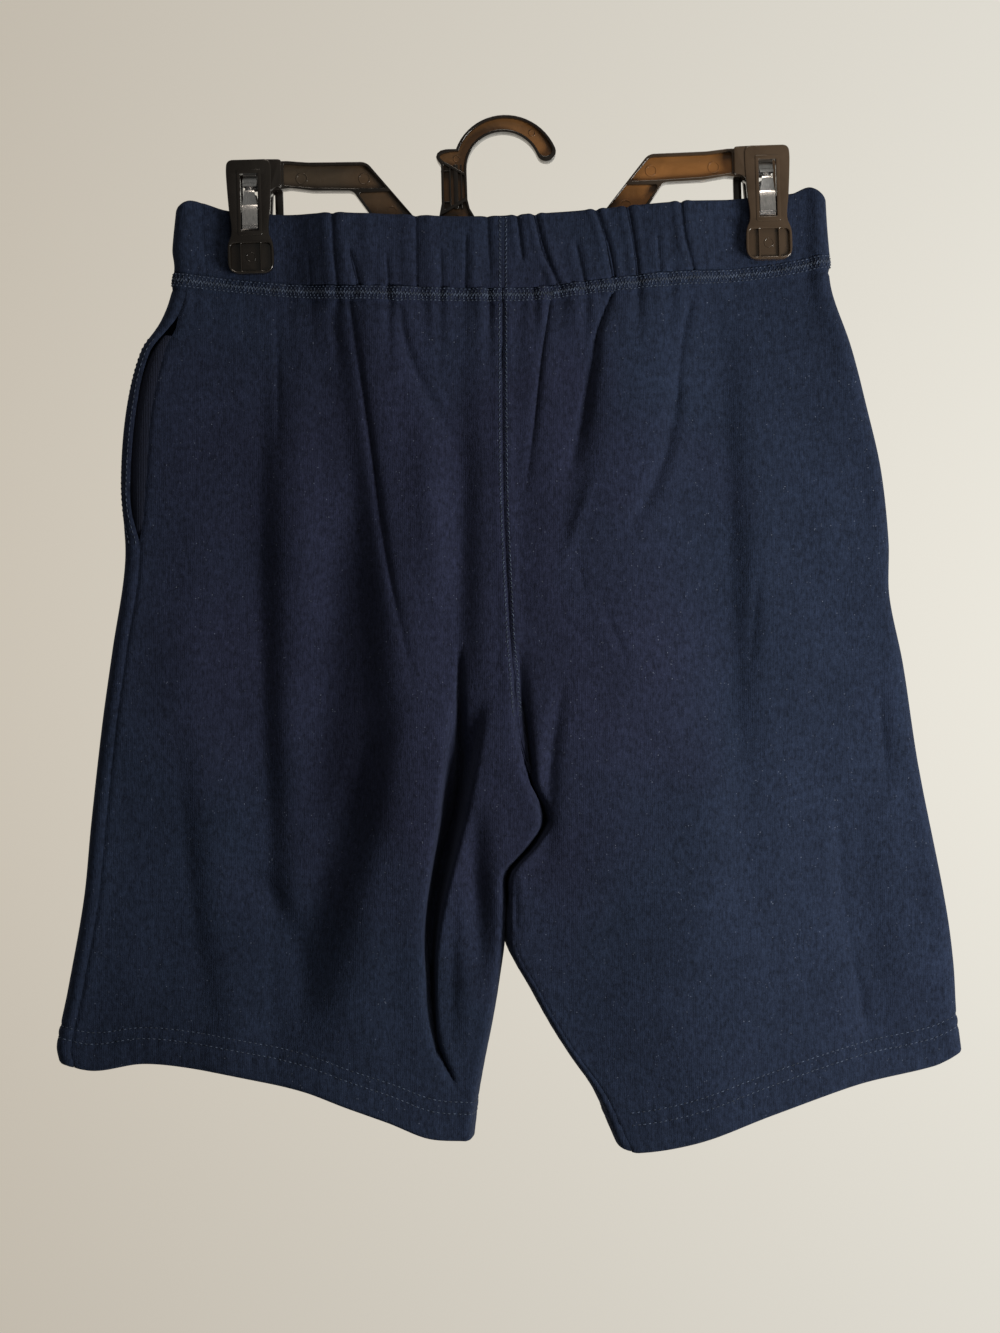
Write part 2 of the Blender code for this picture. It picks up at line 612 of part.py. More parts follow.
def hook_outline():
    """From the shank's left foot, over the hook and back to the shank's right foot."""
    centre_z = -HOOK_INNER_RADIUS
    outer = arc(0.0, centre_z, HOOK_BACK_RADIUS, HOOK_OUTER_RADIUS, HOOK_START_ANGLE, HOOK_TIP_ANGLE,
                HOOK_STEPS)
    tip_radius = (HOOK_OUTER_RADIUS - HOOK_INNER_RADIUS) / 2
    tip_reach = HOOK_INNER_RADIUS + tip_radius
    tip_angle = math.radians(HOOK_TIP_ANGLE)
    tip = arc(tip_reach * math.cos(tip_angle), centre_z + tip_reach * math.sin(tip_angle),
              tip_radius, tip_radius, HOOK_TIP_ANGLE, HOOK_TIP_ANGLE - 180.0, 6)[1:-1]
    inner = arc(0.0, centre_z, HOOK_INNER_RADIUS, HOOK_INNER_RADIUS, HOOK_TIP_ANGLE, 180.0, HOOK_STEPS)
    return SHANK_LEFT + SHANK_KNOB + outer + tip + inner + SHANK_RIGHT


def hanger_outline():
    """The hook, the bar and both arms as one flat outline."""
    right = [(HANGER_MIDDLE_X + x, z) for x, z in ARM_UPPER + ARM_LOWER]
    left = [(HANGER_MIDDLE_X - x, z) for x, z in ARM_UPPER + ARM_LOWER]
    return left[::-1] + hook_outline() + right


def clip_outline(middle, table):
    """The outline of a jaw, from its half widths."""
    right = [(middle + half, CLIP_TOP_Z + z) for z, half in table]
    left = [(middle - half, CLIP_TOP_Z + z) for z, half in table]
    return right + left[::-1]


def box_outline(x_low, x_high, z_low, z_high):
    return [(x_low, z_low), (x_high, z_low), (x_high, z_high), (x_low, z_high)]


def clip_middle(way):
    """A clip's middle before the hanger is tilted."""
    return HANGER_MIDDLE_X + way * CLIP_SPREAD


def finish_jaw(item, middle, facing, label, cutters):
    """Give a jaw its grip pad and cut the spring's window; facing is -1 on the near jaw."""
    pad_table = [(z + PAD_MARGIN, half - PAD_MARGIN) for z, half in CLIP_PROFILE if z <= PAD_TOP_Z]
    pad = sorted((facing * PAD_INNER_Y, facing * (JAW_INNER_Y + 1.5)))
    hole = sorted((facing * (JAW_INNER_Y - 1.0), facing * (JAW_OUTER_Y + 1.0)))
    window = box_outline(middle - WINDOW_HALF_WIDTH, middle + WINDOW_HALF_WIDTH,
                         CLIP_TOP_Z + WINDOW_LOW_Z, CLIP_TOP_Z + WINDOW_TOP_Z)
    shape_with(item, flat_plate(label + "_pad", clip_outline(middle, pad_table), *pad),
               label + "_pad", cutters, "UNION")
    shape_with(item, flat_plate(label + "_window", window, *hole), label + "_window", cutters,
               "DIFFERENCE")


def hanger_body(tilt, collection, cutters, material):
    """Hook, bar, arms and the two front jaws, moulded in one."""
    mesh = flat_plate("hanger_body", hanger_outline(), -HANGER_HALF_DEPTH, HANGER_HALF_DEPTH)
    item = add_object("hanger_body", mesh, collection, material)
    item.parent = tilt
    for way, label in ((-1, "left"), (1, "right")):
        middle = clip_middle(way)
        ends = sorted((middle - way * SHOULDER_INNER, middle - way * SHOULDER_OUTER))
        shoulder = flat_plate(label + "_shoulder", box_outline(*ends, SHOULDER_LOW_Z, SHOULDER_TOP_Z),
                              0.5 - JAW_OUTER_Y, HANGER_HALF_DEPTH - 0.1)
        shape_with(item, shoulder, label + "_shoulder", cutters, "UNION")
        jaw = flat_plate(label + "_front_jaw", clip_outline(middle, CLIP_PROFILE), -JAW_OUTER_Y,
                         -JAW_INNER_Y)
        shape_with(item, jaw, label + "_front_jaw", cutters, "UNION")
        finish_jaw(item, middle, -1, label + "_front", cutters)
    return item


def rear_jaw(name, way, tilt, collection, cutters, material):
    """The lever behind the cloth."""
    middle = clip_middle(way)
    mesh = flat_plate(name, clip_outline(middle, CLIP_PROFILE), JAW_INNER_Y, JAW_OUTER_Y)
    item = add_object(name, mesh, collection, material)
    item.parent = tilt
    finish_jaw(item, middle, 1, name, cutters)
    return item


def clip_spring(name, way, tilt, collection, material):
    """A steel strip bent into a U over the cloth's edge, with a leg in each jaw's window."""
    middle = clip_middle(way)
    low_z = CLIP_TOP_Z + SPRING_LOW_Z
    bend = arc(0.0, CLIP_TOP_Z + SPRING_BEND_Z, SPRING_BEND, SPRING_BEND, 180.0, 0.0, 10)
    route = [(-SPRING_BEND, low_z)] + bend + [(SPRING_BEND, low_z)]
    rows = [[(middle - SPRING_HALF_WIDTH, y, z), (middle + SPRING_HALF_WIDTH, y, z)] for y, z in route]
    item = sheet_object(name, rows, SPRING_STRIP, collection, material)
    item.parent = tilt
    return item


def main():
    clear_scene()
    model = new_collection("lounge_shorts")
    cutters = new_collection("cutters")
    waistband(model, principled("casing_knit", NAVY, CLOTH_ROUGHNESS))
    for side, label, columns in ((LEFT, "left", LEFT_BAG_COLUMNS), (RIGHT, "right", RIGHT_BAG_COLUMNS)):
        for layer in ("back", "front"):
            fleece = principled(layer + "_" + label + "_fleece", NAVY, CLOTH_ROUGHNESS)
            panel(layer + "_" + label + "_panel", side, layer, model, fleece)
        bag_knit = principled(label + "_bag_knit", BAG_NAVY, CLOTH_ROUGHNESS)
        pocket_bag(label + "_pocket_bag", side, columns, model, bag_knit)

    tilt = bpy.data.objects.new("hanger_tilt", None)
    model.objects.link(tilt)
    tilt.rotation_euler = (0.0, -HANGER_TILT, 0.0)
    hanger_body(tilt, model, cutters, principled("hanger_plastic", MOULDED_BLACK, GLOSS_ROUGHNESS))
    for way, label in ((-1, "left"), (1, "right")):
        jaw_plastic = principled(label + "_jaw_plastic", MOULDED_BLACK, GLOSS_ROUGHNESS)
        rear_jaw(label + "_rear_jaw", way, tilt, model, cutters, jaw_plastic)
        steel = principled(label + "_spring_steel", SPRING_STEEL, GLOSS_ROUGHNESS, 1.0)
        clip_spring(label + "_spring", way, tilt, model, steel)


main()
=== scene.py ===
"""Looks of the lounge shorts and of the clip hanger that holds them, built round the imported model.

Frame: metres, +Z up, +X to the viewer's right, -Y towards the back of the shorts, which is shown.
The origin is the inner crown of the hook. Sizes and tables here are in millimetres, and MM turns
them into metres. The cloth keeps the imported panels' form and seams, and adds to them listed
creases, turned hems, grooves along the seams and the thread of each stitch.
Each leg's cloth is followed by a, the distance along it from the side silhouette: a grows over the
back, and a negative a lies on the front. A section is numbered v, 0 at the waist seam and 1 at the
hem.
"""
import math

import bmesh
import bpy
import numpy as np
from bpy.props import FloatProperty, FloatVectorProperty, PointerProperty
from mathutils import Matrix, Vector


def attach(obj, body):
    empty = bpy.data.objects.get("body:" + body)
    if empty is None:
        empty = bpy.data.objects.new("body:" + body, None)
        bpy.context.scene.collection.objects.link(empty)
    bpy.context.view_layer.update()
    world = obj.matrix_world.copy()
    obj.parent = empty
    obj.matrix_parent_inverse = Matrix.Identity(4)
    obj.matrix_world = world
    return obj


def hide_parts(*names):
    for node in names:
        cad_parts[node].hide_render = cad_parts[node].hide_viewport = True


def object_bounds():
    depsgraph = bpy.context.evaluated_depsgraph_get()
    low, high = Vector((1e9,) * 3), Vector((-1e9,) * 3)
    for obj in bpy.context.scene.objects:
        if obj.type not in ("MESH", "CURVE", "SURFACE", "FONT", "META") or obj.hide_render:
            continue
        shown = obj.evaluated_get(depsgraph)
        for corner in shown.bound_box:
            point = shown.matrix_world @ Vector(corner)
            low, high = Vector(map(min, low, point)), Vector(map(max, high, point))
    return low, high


bl_info = {
    "name": "Lounge Shorts on a Clip Hanger",
    "version": (1, 0, 0),
    "blender": (4, 5, 0),
    "location": "View3D > Sidebar > Shorts",
    "description": "Builds the cloth, the stitches, the moulded hanger and a plain studio",
    "category": "Object",
}

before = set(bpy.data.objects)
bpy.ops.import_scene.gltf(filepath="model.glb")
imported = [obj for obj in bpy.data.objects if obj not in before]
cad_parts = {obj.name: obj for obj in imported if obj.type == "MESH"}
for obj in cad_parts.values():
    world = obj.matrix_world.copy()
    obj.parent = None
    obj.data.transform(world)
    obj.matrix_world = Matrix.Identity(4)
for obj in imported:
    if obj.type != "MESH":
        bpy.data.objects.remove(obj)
CAD_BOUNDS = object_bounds()

MM = 0.001
QUARTER = math.pi / 2

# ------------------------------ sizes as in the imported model
FLEECE_WALL = 1.8
CASING_WALL = 3.0
BAG_WALL = 1.0
SEAM_GAP = 0.16            # between two panels' edges, where the CAD keeps 0.6
SIDE_ROLL = 5.5            # radius at which the cloth turns at a side edge
INNER_ROLL = 3.5           # the same at the inner edge of a leg
PINCH_HALF_DEPTH = 1.75    # from the hanger's plane to the middle of each layer, inside a clip
PINCH_FLAT = 16.0          # to each side of a clip's middle, where the layers lie together
CASING_END_LEFT = -178.0
CASING_END_RIGHT = 176.0
CASING_LOW_Z = -78.0       # between these heights the casing follows the silhouette
CASING_HIGH_Z = -45.0
CASING_HEIGHT = 37.5
CENTRE_FRONT_X = 0.5
CROTCH_Z = -406.0
CROTCH_ROW = 0.7           # the section that meets the crotch
LAP = 1.5                  # how far the left leg laps over the right where they part
LAP_Z = -417.0
LAP_REACH = 24.0
BAG_OUTER = 2.6            # from the middle of the front panel's wall to the bag's outer layer
BAG_INNER = 4.3            # and to its inner layer
PANEL_EDGE_WALL = 2.0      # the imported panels' wall, which sets where their edges lie

HANGER_TILT = math.radians(1.6)
HANGER_MIDDLE_X = 2.5
CLIP_SPREAD = 139.9        # from the hanger's middle to the middle of each clip
CLIP_TOP_Z = -12.2
CLIP_GRIP_Z = -62.0
HANGER_HALF_DEPTH = 4.5
JAW_OUTER_Y = 9.5
JAW_FLOOR_Y = 7.2          # of the pad's cells
JAW_INNER_Y = 5.3
PAD_INNER_Y = 3.6
WINDOW_HALF_WIDTH = 4.7
WINDOW_TOP_Z = -7.6        # from the clip's top
WINDOW_LOW_Z = -38.5
HOOK_INNER_RADIUS = 19.8
HOOK_OUTER_RADIUS = 30.4
HOOK_BACK_RADIUS = 27.6    # the outer radius where the hook meets its shank
HOOK_START_ANGLE = 156.0
HOOK_TIP_ANGLE = 20.0
BAR_TOP_Z = -54.5
BAR_LOW_Z = -68.0

# ------------------------------ sections of the cloth
# height z, x of the left silhouette
LEFT_EDGE = [
    (-38.0, -176.0), (-64.0, -179.0), (-76.0, -178.0), (-92.0, -181.0), (-104.5, -186.5),
    (-118.6, -196.0), (-149.5, -204.0), (-188.5, -207.0), (-231.8, -204.8), (-281.7, -211.8),
    (-321.0, -217.2), (-375.0, -223.2), (-416.0, -227.2), (-465.0, -235.8), (-495.0, -241.6),
    (-504.0, -240.0),
]

# height z, x of the right silhouette
RIGHT_EDGE = [
    (-34.0, 175.0), (-69.0, 177.2), (-86.7, 179.4), (-115.9, 189.6), (-149.5, 198.3),
    (-182.6, 205.8), (-221.6, 210.0), (-250.8, 210.4), (-288.2, 217.8), (-342.4, 226.0),
    (-416.0, 240.5), (-448.5, 245.0), (-481.0, 247.0), (-498.0, 249.2),
]

# height z, x of the centre back seam, down to the crotch
CENTRE_BACK = [
    (-35.0, 0.5), (-188.5, 0.8), (-255.7, 3.6), (-292.0, 5.6), (-323.4, 8.0), (-350.0, 15.0),
    (-372.0, 23.0), (-386.0, 15.0), (-399.0, 3.0), (-406.0, 1.2),
]

# height z, x of each leg's inner silhouette
LEFT_INNER = [
    (-406.0, 1.2), (-438.0, 1.2), (-462.0, -1.6), (-481.6, -4.9), (-503.2, -9.2),
    (-528.2, -13.5), (-543.0, -15.0),
]
RIGHT_INNER = [
    (-406.0, 1.2), (-438.0, 1.6), (-462.6, 14.6), (-483.0, 26.0), (-499.0, 36.3),
    (-516.2, 48.2), (-546.0, 61.5),
]

# height z, a of the pocket mouth's outer edge, a of the side seam
LEFT_SIDE_SEAM = [
    (-60.0, 10.1, 11.0), (-99.0, 10.1, 11.0), (-107.0, 8.8, 13.6), (-122.0, 7.6, 16.2),
    (-149.0, 8.2, 17.0), (-184.0, 8.0, 17.2), (-205.0, 7.6, 14.8), (-216.0, 9.2, 12.4),
    (-222.0, 10.4, 11.0), (-510.0, 10.4, 11.0),
]
RIGHT_SIDE_SEAM = [
    (-60.0, -11.6, -11.0), (-112.0, -11.6, -11.0), (-122.0, -13.5, -10.0), (-137.0, -16.0, -9.2),
    (-170.0, -16.4, -9.0), (-225.0, -15.0, -9.6), (-242.0, -12.6, -10.6), (-250.0, -11.6, -11.0),
    (-510.0, -11.6, -11.0),
]

# height z, cloth from the inseam to the leg's inner silhouette; negative where it lies in front
LEFT_INSEAM = [(-406.0, 0.0), (-417.0, -2.5), (-438.0, -6.0), (-543.0, -6.4)]
RIGHT_INSEAM = [(-406.0, 0.0), (-417.0, 2.5), (-438.0, 6.0), (-484.0, 6.6), (-546.0, 9.0)]

# x, height z of the casing's top edge
CASING_TOP = [
    (-178.0, -46.0), (-174.0, -39.5), (-166.8, -37.4), (-149.0, -42.3), (-124.0, -44.4),
    (-89.0, -45.0), (-14.6, -47.4), (39.0, -44.4), (97.0, -38.8), (129.5, -35.8),
    (157.0, -33.0), (166.3, -29.8), (172.3, -33.0), (176.0, -39.0),
]

# x, height z of the seam between the casing and the panels
WAIST_SEAM = [
    (-180.0, -76.0), (-147.0, -79.6), (-96.4, -84.0), (-41.0, -86.1), (16.8, -86.1),
    (46.0, -82.6), (89.0, -77.5), (140.0, -72.6), (178.0, -66.0),
]

# share of the way from side to inner edge, fall of the hem below a straight line
LEFT_HEM_DROP = [
    (0.0, 0.0), (0.08, 0.5), (0.2, -8.5), (0.32, -11.5), (0.47, -12.0), (0.6, -11.0), (0.7, -7.0),
    (0.8, -3.0), (0.9, 2.0), (1.0, 0.0),
]
RIGHT_HEM_DROP = [
    (0.0, 0.0), (0.08, 3.0), (0.31, 1.0), (0.55, 3.5), (0.78, 8.0), (0.94, 5.5), (1.0, 0.0),
]

# height z, depth of the back layer and of the front layer from the hanger's plane
LAYER_DEPTH = [
    (-30.0, 12.0, 11.0), (-85.0, 15.0, 12.0), (-120.0, 20.0, 15.0), (-180.0, 25.0, 19.0),
    (-260.0, 29.0, 22.0), (-340.0, 31.0, 24.0), (-420.0, 30.0, 23.0), (-500.0, 27.0, 21.0),
    (-550.0, 26.0, 20.0),
]

# height z, strength of the clips' pinch, its reach beyond the flat stretch
CLIP_PINCH = [
    (-30.0, 1.0, 19.0), (-77.0, 1.0, 20.0), (-110.0, 0.7, 27.0), (-150.0, 0.35, 35.0),
    (-230.0, 0.0, 45.0),
]

# ------------------------------ folds and creases
# Soft folds and creases of the panels: layer, z at the top, z at the end, x at four even steps
# between them, half width at the top and at the end, depth (negative on a ridge), share of the
# run where it is deepest, and bite: 0 for a rounded trough, 1 for a crisp line, -1 for a trough
# with steep sides, steepest on its left, and LEANING for a rounded trough that rises slowly on
# its left
LEANING = 2.0
LEAN_REACH = 3.0           # how much wider a leaning trough is on its left
STEEP_REACH = 1.6          # how much narrower a steep-sided one is there
DEEP_FOLD = ("back", -306.0, -500.0, -19.4, -28.8, -39.3, -35.2, 12.2, 1.2, 34.0, 0.56, -0.9)
FOLDS = [
    DEEP_FOLD,
    # from the waist to the deep fold, beside the centre seam
    ("back", -96.0, -330.0, -21.0, -21.0, -21.5, -22.0, 7.5, 9.0, 4.0, 0.6, 0.0),
    ("back", -88.0, -350.0, -35.0, -33.0, -31.0, -30.0, 16.0, 18.0, 7.0, 0.5, LEANING),
    ("back", -92.0, -345.0, 5.0, 6.0, 8.0, 11.0, 12.0, 14.0, 4.0, 0.5, LEANING),
    ("back", -280.0, -400.0, -23.0, -23.3, -24.5, -34.0, 2.8, 5.6, 12.0, 0.5, -0.4),
    ("back", -452.0, -514.0, -40.0, -38.8, -34.5, -24.4, 3.0, 1.3, 13.0, 0.45, 0.3),
    # the left half's long folds
    ("back", -180.0, -530.0, -82.0, -95.0, -108.0, -114.0, 20.0, 28.0, 7.0, 0.45, 0.0),
    ("back", -180.0, -530.0, -82.0, -95.0, -105.0, -112.0, 18.0, 24.0, 4.5, 0.45, LEANING),
    ("back", -350.0, -540.0, -66.0, -64.0, -62.0, -58.0, 18.0, 20.0, 7.0, 0.5, LEANING),
    ("back", -88.0, -176.0, -122.5, -121.5, -120.6, -120.2, 1.7, 2.6, 2.8, 0.22, 0.8),
    ("back", -90.0, -520.0, -130.0, -132.0, -129.0, -124.0, 9.0, 13.0, 11.0, 0.52, LEANING),
    ("back", -100.0, -330.0, -108.0, -108.5, -106.0, -104.0, 9.0, 12.0, -2.8, 0.4, 0.0),
    ("back", -90.0, -302.0, -82.0, -71.5, -61.5, -46.5, 1.8, 2.8, 3.9, 0.35, 0.7),
    ("back", -98.0, -480.0, -95.0, -80.0, -78.0, -104.0, 12.0, 15.0, 10.0, 0.42, LEANING),
    ("back", -94.0, -134.0, -93.0, -90.5, -87.5, -84.0, 2.6, 4.0, 1.8, 0.3, 0.5),
    ("back", -92.0, -178.0, -55.5, -50.5, -37.0, -21.0, 2.6, 4.2, 2.7, 0.35, 0.4),
    ("back", -130.0, -262.0, -42.0, -40.0, -37.0, -34.0, 9.0, 10.0, -3.1, 0.5, 0.0),
    ("back", -300.0, -500.0, -58.0, -80.0, -102.0, -112.0, 11.0, 13.0, 5.0, 0.45, 0.0),
    ("back", -320.0, -500.0, -178.0, -174.0, -167.0, -157.0, 10.0, 11.0, 6.0, 0.5, LEANING),
    ("back", -392.0, -486.0, -141.0, -118.0, -108.5, -107.0, 8.0, 9.0, 2.8, 0.45, 0.0),
    ("back", -364.0, -456.0, -15.0, -14.5, -13.0, -13.0, 7.0, 9.0, 9.0, 0.45, 0.0),
    ("back", -385.0, -500.0, -25.0, -26.5, -27.5, -27.0, 5.5, 6.0, 5.0, 0.45, LEANING),
    # the right half's gathers and folds
    ("back", -90.0, -198.0, 26.0, 21.0, 17.0, 12.0, 1.8, 2.8, 3.1, 0.28, 0.7),
    ("back", -86.0, -124.0, 60.5, 55.5, 51.0, 48.6, 1.7, 2.0, 4.5, 0.4, 0.8),
    ("back", -112.0, -190.0, 51.5, 47.0, 42.0, 33.0, 2.4, 4.4, 4.6, 0.3, 0.3),
    ("back", -100.0, -230.0, 44.0, 42.0, 37.0, 28.0, 8.0, 10.0, 5.4, 0.42, LEANING),
    ("back", -190.0, -238.0, 49.0, 43.0, 37.0, 30.0, 2.6, 3.2, -1.5, 0.4, 0.2),
    ("back", -85.0, -156.0, 105.0, 98.0, 95.0, 93.6, 1.8, 2.4, 3.6, 0.3, 0.7),
    ("back", -134.0, -222.0, 95.0, 90.5, 81.0, 66.0, 3.6, 5.4, 4.4, 0.4, 0.3),
    ("back", -84.0, -420.0, 117.0, 120.0, 123.0, 127.0, 9.0, 13.0, 8.5, 0.4, LEANING),
    ("back", -96.0, -120.0, 118.0, 117.6, 117.4, 117.0, 1.6, 2.2, 1.3, 0.4, 0.6),
    ("back", -236.0, -294.0, 138.0, 136.5, 135.0, 134.0, 2.6, 3.0, 1.4, 0.5, 0.4),
    ("back", -258.0, -290.0, 26.0, 38.0, 50.0, 66.0, 2.2, 2.4, 1.3, 0.45, 0.4),
    ("back", -246.0, -292.0, 48.0, 55.0, 62.0, 66.0, 2.0, 2.2, 1.0, 0.5, 0.4),
    ("back", -232.0, -252.0, 38.0, 41.5, 43.0, 44.0, 2.0, 2.0, 1.0, 0.5, 0.4),
    ("back", -318.0, -470.0, 118.0, 113.0, 108.0, 106.0, 18.0, 22.0, -4.2, 0.5, 0.0),
    ("back", -356.0, -440.0, 180.0, 181.5, 183.0, 183.5, 4.0, 5.0, 2.1, 0.5, 0.3),
    ("back", -430.0, -492.0, 187.0, 190.0, 194.0, 198.0, 3.0, 4.0, 2.1, 0.6, 0.4),
    ("back", -300.0, -352.0, 203.5, 205.0, 206.5, 208.0, 3.0, 3.4, 2.0, 0.5, 0.4),
    ("back", -350.0, -500.0, 190.0, 193.0, 197.0, 203.0, 12.0, 14.0, 3.4, 0.5, 0.0),
    # where the legs part: the cleft under the lip, and the valley on the right leg
    ("back", -306.0, -350.0, 10.4, 12.4, 14.2, 16.6, 2.2, 2.0, 14.0, 0.62, -0.2),
    ("back", -276.0, -348.0, 8.5, 10.0, 11.6, 14.0, 4.0, 4.6, 8.0, 0.6, 0.4),
    ("back", -296.0, -398.0, 33.0, 27.2, 24.6, 25.0, 3.4, 5.0, 3.8, 0.55, 0.0),
    ("back", -396.0, -436.0, 5.0, 5.6, 6.0, 6.2, 2.6, 2.6, 3.4, 0.4, 0.2),
    # the hidden front, folded much as the back is
    ("front", -88.0, -180.0, -120.0, -118.0, -116.5, -116.0, 1.8, 2.6, 3.0, 0.25, 0.7),
    ("front", -90.0, -340.0, -118.0, -112.0, -110.0, -104.0, 8.0, 13.0, 6.6, 0.45, 0.0),
    ("front", -90.0, -270.0, -58.0, -52.0, -44.0, -34.0, 2.4, 3.4, 3.6, 0.3, 0.6),
    ("front", -100.0, -300.0, -50.0, -45.0, -39.0, -31.0, 9.0, 11.0, 5.1, 0.5, 0.0),
    ("front", -90.0, -150.0, -28.0, -24.0, -20.0, -15.0, 2.2, 3.0, 2.4, 0.3, 0.6),
    ("front", -90.0, -230.0, 48.0, 45.0, 40.0, 34.0, 2.2, 3.2, 3.6, 0.3, 0.6),
    ("front", -110.0, -300.0, 44.0, 40.0, 35.0, 31.0, 9.0, 11.0, 5.1, 0.5, 0.0),
    ("front", -88.0, -160.0, 84.0, 80.0, 77.0, 74.0, 2.0, 2.8, 3.0, 0.3, 0.6),
    ("front", -86.0, -340.0, 116.0, 118.0, 112.0, 108.0, 10.0, 13.0, 6.3, 0.4, 0.0),
    ("front", -300.0, -505.0, -62.0, -72.0, -84.0, -92.0, 12.0, 14.0, 7.5, 0.5, 0.0),
    ("front", -310.0, -505.0, 74.0, 84.0, 98.0, 106.0, 12.0, 14.0, 7.5, 0.5, 0.0),
    ("front", -340.0, -500.0, -160.0, -158.0, -152.0, -146.0, 10.0, 12.0, 4.5, 0.5, 0.0),
    ("front", -340.0, -500.0, 172.0, 176.0, 180.0, 186.0, 10.0, 12.0, 4.5, 0.5, 0.0),
    ("front", -318.0, -400.0, -12.0, -11.0, -9.5, -8.0, 4.0, 5.0, 6.0, 0.6, 0.1),
    ("front", -318.0, -400.0, 13.0, 12.0, 11.0, 10.0, 4.0, 5.0, 6.0, 0.6, 0.1),
]

# Creases of the elastic casing: layer, x at the top edge, x half way down, x at the seam,
# share of the height where it ends (0 seam) and where it starts (1 top), half width, depth
CASING_CREASES = [
    ("back", -91.5, -90.6, -88.6, 0.0, 1.0, 1.4, 1.8),
    ("back", -84.0, -82.0, -77.0, 0.0, 0.45, 1.2, 1.6),
    ("back", -46.4, -46.2, -46.0, 0.0, 1.0, 1.9, 1.6),
    ("back", -64.0, -62.5, -61.0, 0.0, 0.35, 1.1, 1.1),
    ("back", -106.0, -105.0, -103.5, 0.0, 0.4, 1.2, 1.1),
    ("back", -33.0, -33.0, -32.5, 0.0, 0.5, 1.3, 0.9),
    ("back", -19.5, -19.5, -20.0, 0.0, 0.7, 1.5, 1.2),
    ("back", -8.0, -7.0, -6.0, 0.3, 1.0, 1.2, 0.9),
    ("back", 8.0, 10.5, 13.0, 0.45, 1.0, 1.0, 1.8),
    ("back", 17.6, 22.2, 30.6, 0.0, 1.0, 1.1, 2.7),
    ("back", 36.0, 40.0, 44.2, 0.0, 0.5, 1.2, 1.5),
    ("back", 50.5, 56.4, 60.0, 0.0, 1.0, 1.1, 2.4),
    ("back", 67.3, 70.6, 72.8, 0.0, 1.0, 1.1, 2.3),
    ("back", 96.2, 98.4, 103.4, 0.0, 1.0, 1.1, 2.4),
    ("back", 81.0, 83.5, 85.0, 0.0, 0.5, 1.4, 1.1),
    ("back", 113.0, 115.0, 117.0, 0.0, 0.8, 1.7, 1.4),
    ("back", 158.0, 160.0, 162.0, 0.0, 1.0, 2.1, 1.2),
    ("back", -163.0, -162.0, -160.0, 0.0, 1.0, 2.1, 1.2),
    ("front", -110.0, -108.0, -106.0, 0.0, 1.0, 1.3, 1.9),
    ("front", -78.0, -76.0, -75.0, 0.0, 0.7, 1.2, 1.8),
    ("front", -52.0, -49.0, -45.0, 0.0, 1.0, 1.2, 2.2),
    ("front", -24.0, -25.0, -26.0, 0.2, 1.0, 1.3, 1.5),
    ("front", 18.0, 20.0, 24.0, 0.0, 1.0, 1.2, 2.0),
    ("front", 43.0, 45.0, 46.0, 0.0, 0.6, 1.3, 1.4),
    ("front", 66.0, 69.0, 74.0, 0.0, 1.0, 1.2, 2.2),
    ("front", 99.0, 100.0, 102.0, 0.0, 1.0, 1.3, 1.8),
]

# Broad uneven rise and fall of soft cloth: waves along x, waves down z, turn, height
RUMPLE = [
    (0.031, 0.017, 0.4, 0.55), (0.052, -0.026, 2.1, 0.40), (0.083, 0.034, 4.4, 0.28),
    (0.118, -0.021, 1.3, 0.20), (0.024, 0.061, 3.7, 0.34), (0.149, 0.052, 5.2, 0.13),
    (0.209, -0.038, 0.9, 0.09), (0.071, 0.094, 2.8, 0.14),
]
# Small gathers under the waist seam: waves along x, turn, height
GATHERS = [(0.33, 0.3, 0.34), (0.47, 1.9, 0.26), (0.71, 4.0, 0.18), (0.94, 5.5, 0.10)]


# ------------------------------ reading the tables
def smooth(share):
    """An even S-curve from 0 to 1."""
    share = np.clip(share, 0.0, 1.0)
    return share * share * (3.0 - 2.0 * share)


def mix(low, high, share):
    """From low at share 0 to high at share 1."""
    return low + (high - low) * share


def bell(distance, width):
    """1 at the middle, falling softly to 0 on both sides."""
    return np.exp(-(distance / width) ** 2)


def curve(table, keys, column=1):
    """Values of one column at many keys, on a smooth curve through the table's rows."""
    rows = np.array(sorted(tuple(map(float, row)) for row in table))
    places, values = rows[:, 0], rows[:, column]
    last = len(places) - 1
    before = np.maximum(np.arange(last + 1) - 1, 0)
    after = np.minimum(np.arange(last + 1) + 1, last)
    slopes = (values[after] - values[before]) / (places[after] - places[before])
    keys = np.clip(np.asarray(keys, float), places[0], places[-1])
    low = np.clip(np.searchsorted(places, keys, side="right") - 1, 0, last - 1)
    span = places[low + 1] - places[low]
    t = (keys - places[low]) / span
    ends = (2 * t**3 - 3 * t**2 + 1) * values[low] + (3 * t**2 - 2 * t**3) * values[low + 1]
    bends = (t**3 - 2 * t**2 + t) * slopes[low] + (t**3 - t**2) * slopes[low + 1]
    return ends + bends * span


# ------------------------------ the cloth's shape
def clip_middles():
    """The x of both clips at the height of their grip, on the tilted hanger."""
    lean = -CLIP_GRIP_Z * math.sin(HANGER_TILT)
    reach = CLIP_SPREAD * math.cos(HANGER_TILT)
    return HANGER_MIDDLE_X + lean - reach, HANGER_MIDDLE_X + lean + reach


def clip_pinch(x, z):
    """1 where a clip holds the layers together, falling to 0 beside and below it."""
    left, right = clip_middles()
    nearest = np.minimum(np.abs(x - left), np.abs(x - right))
    beyond = np.maximum(0.0, nearest - PINCH_FLAT) / curve(CLIP_PINCH, z, 2)
    return curve(CLIP_PINCH, z, 1) * np.exp(-beyond * beyond)


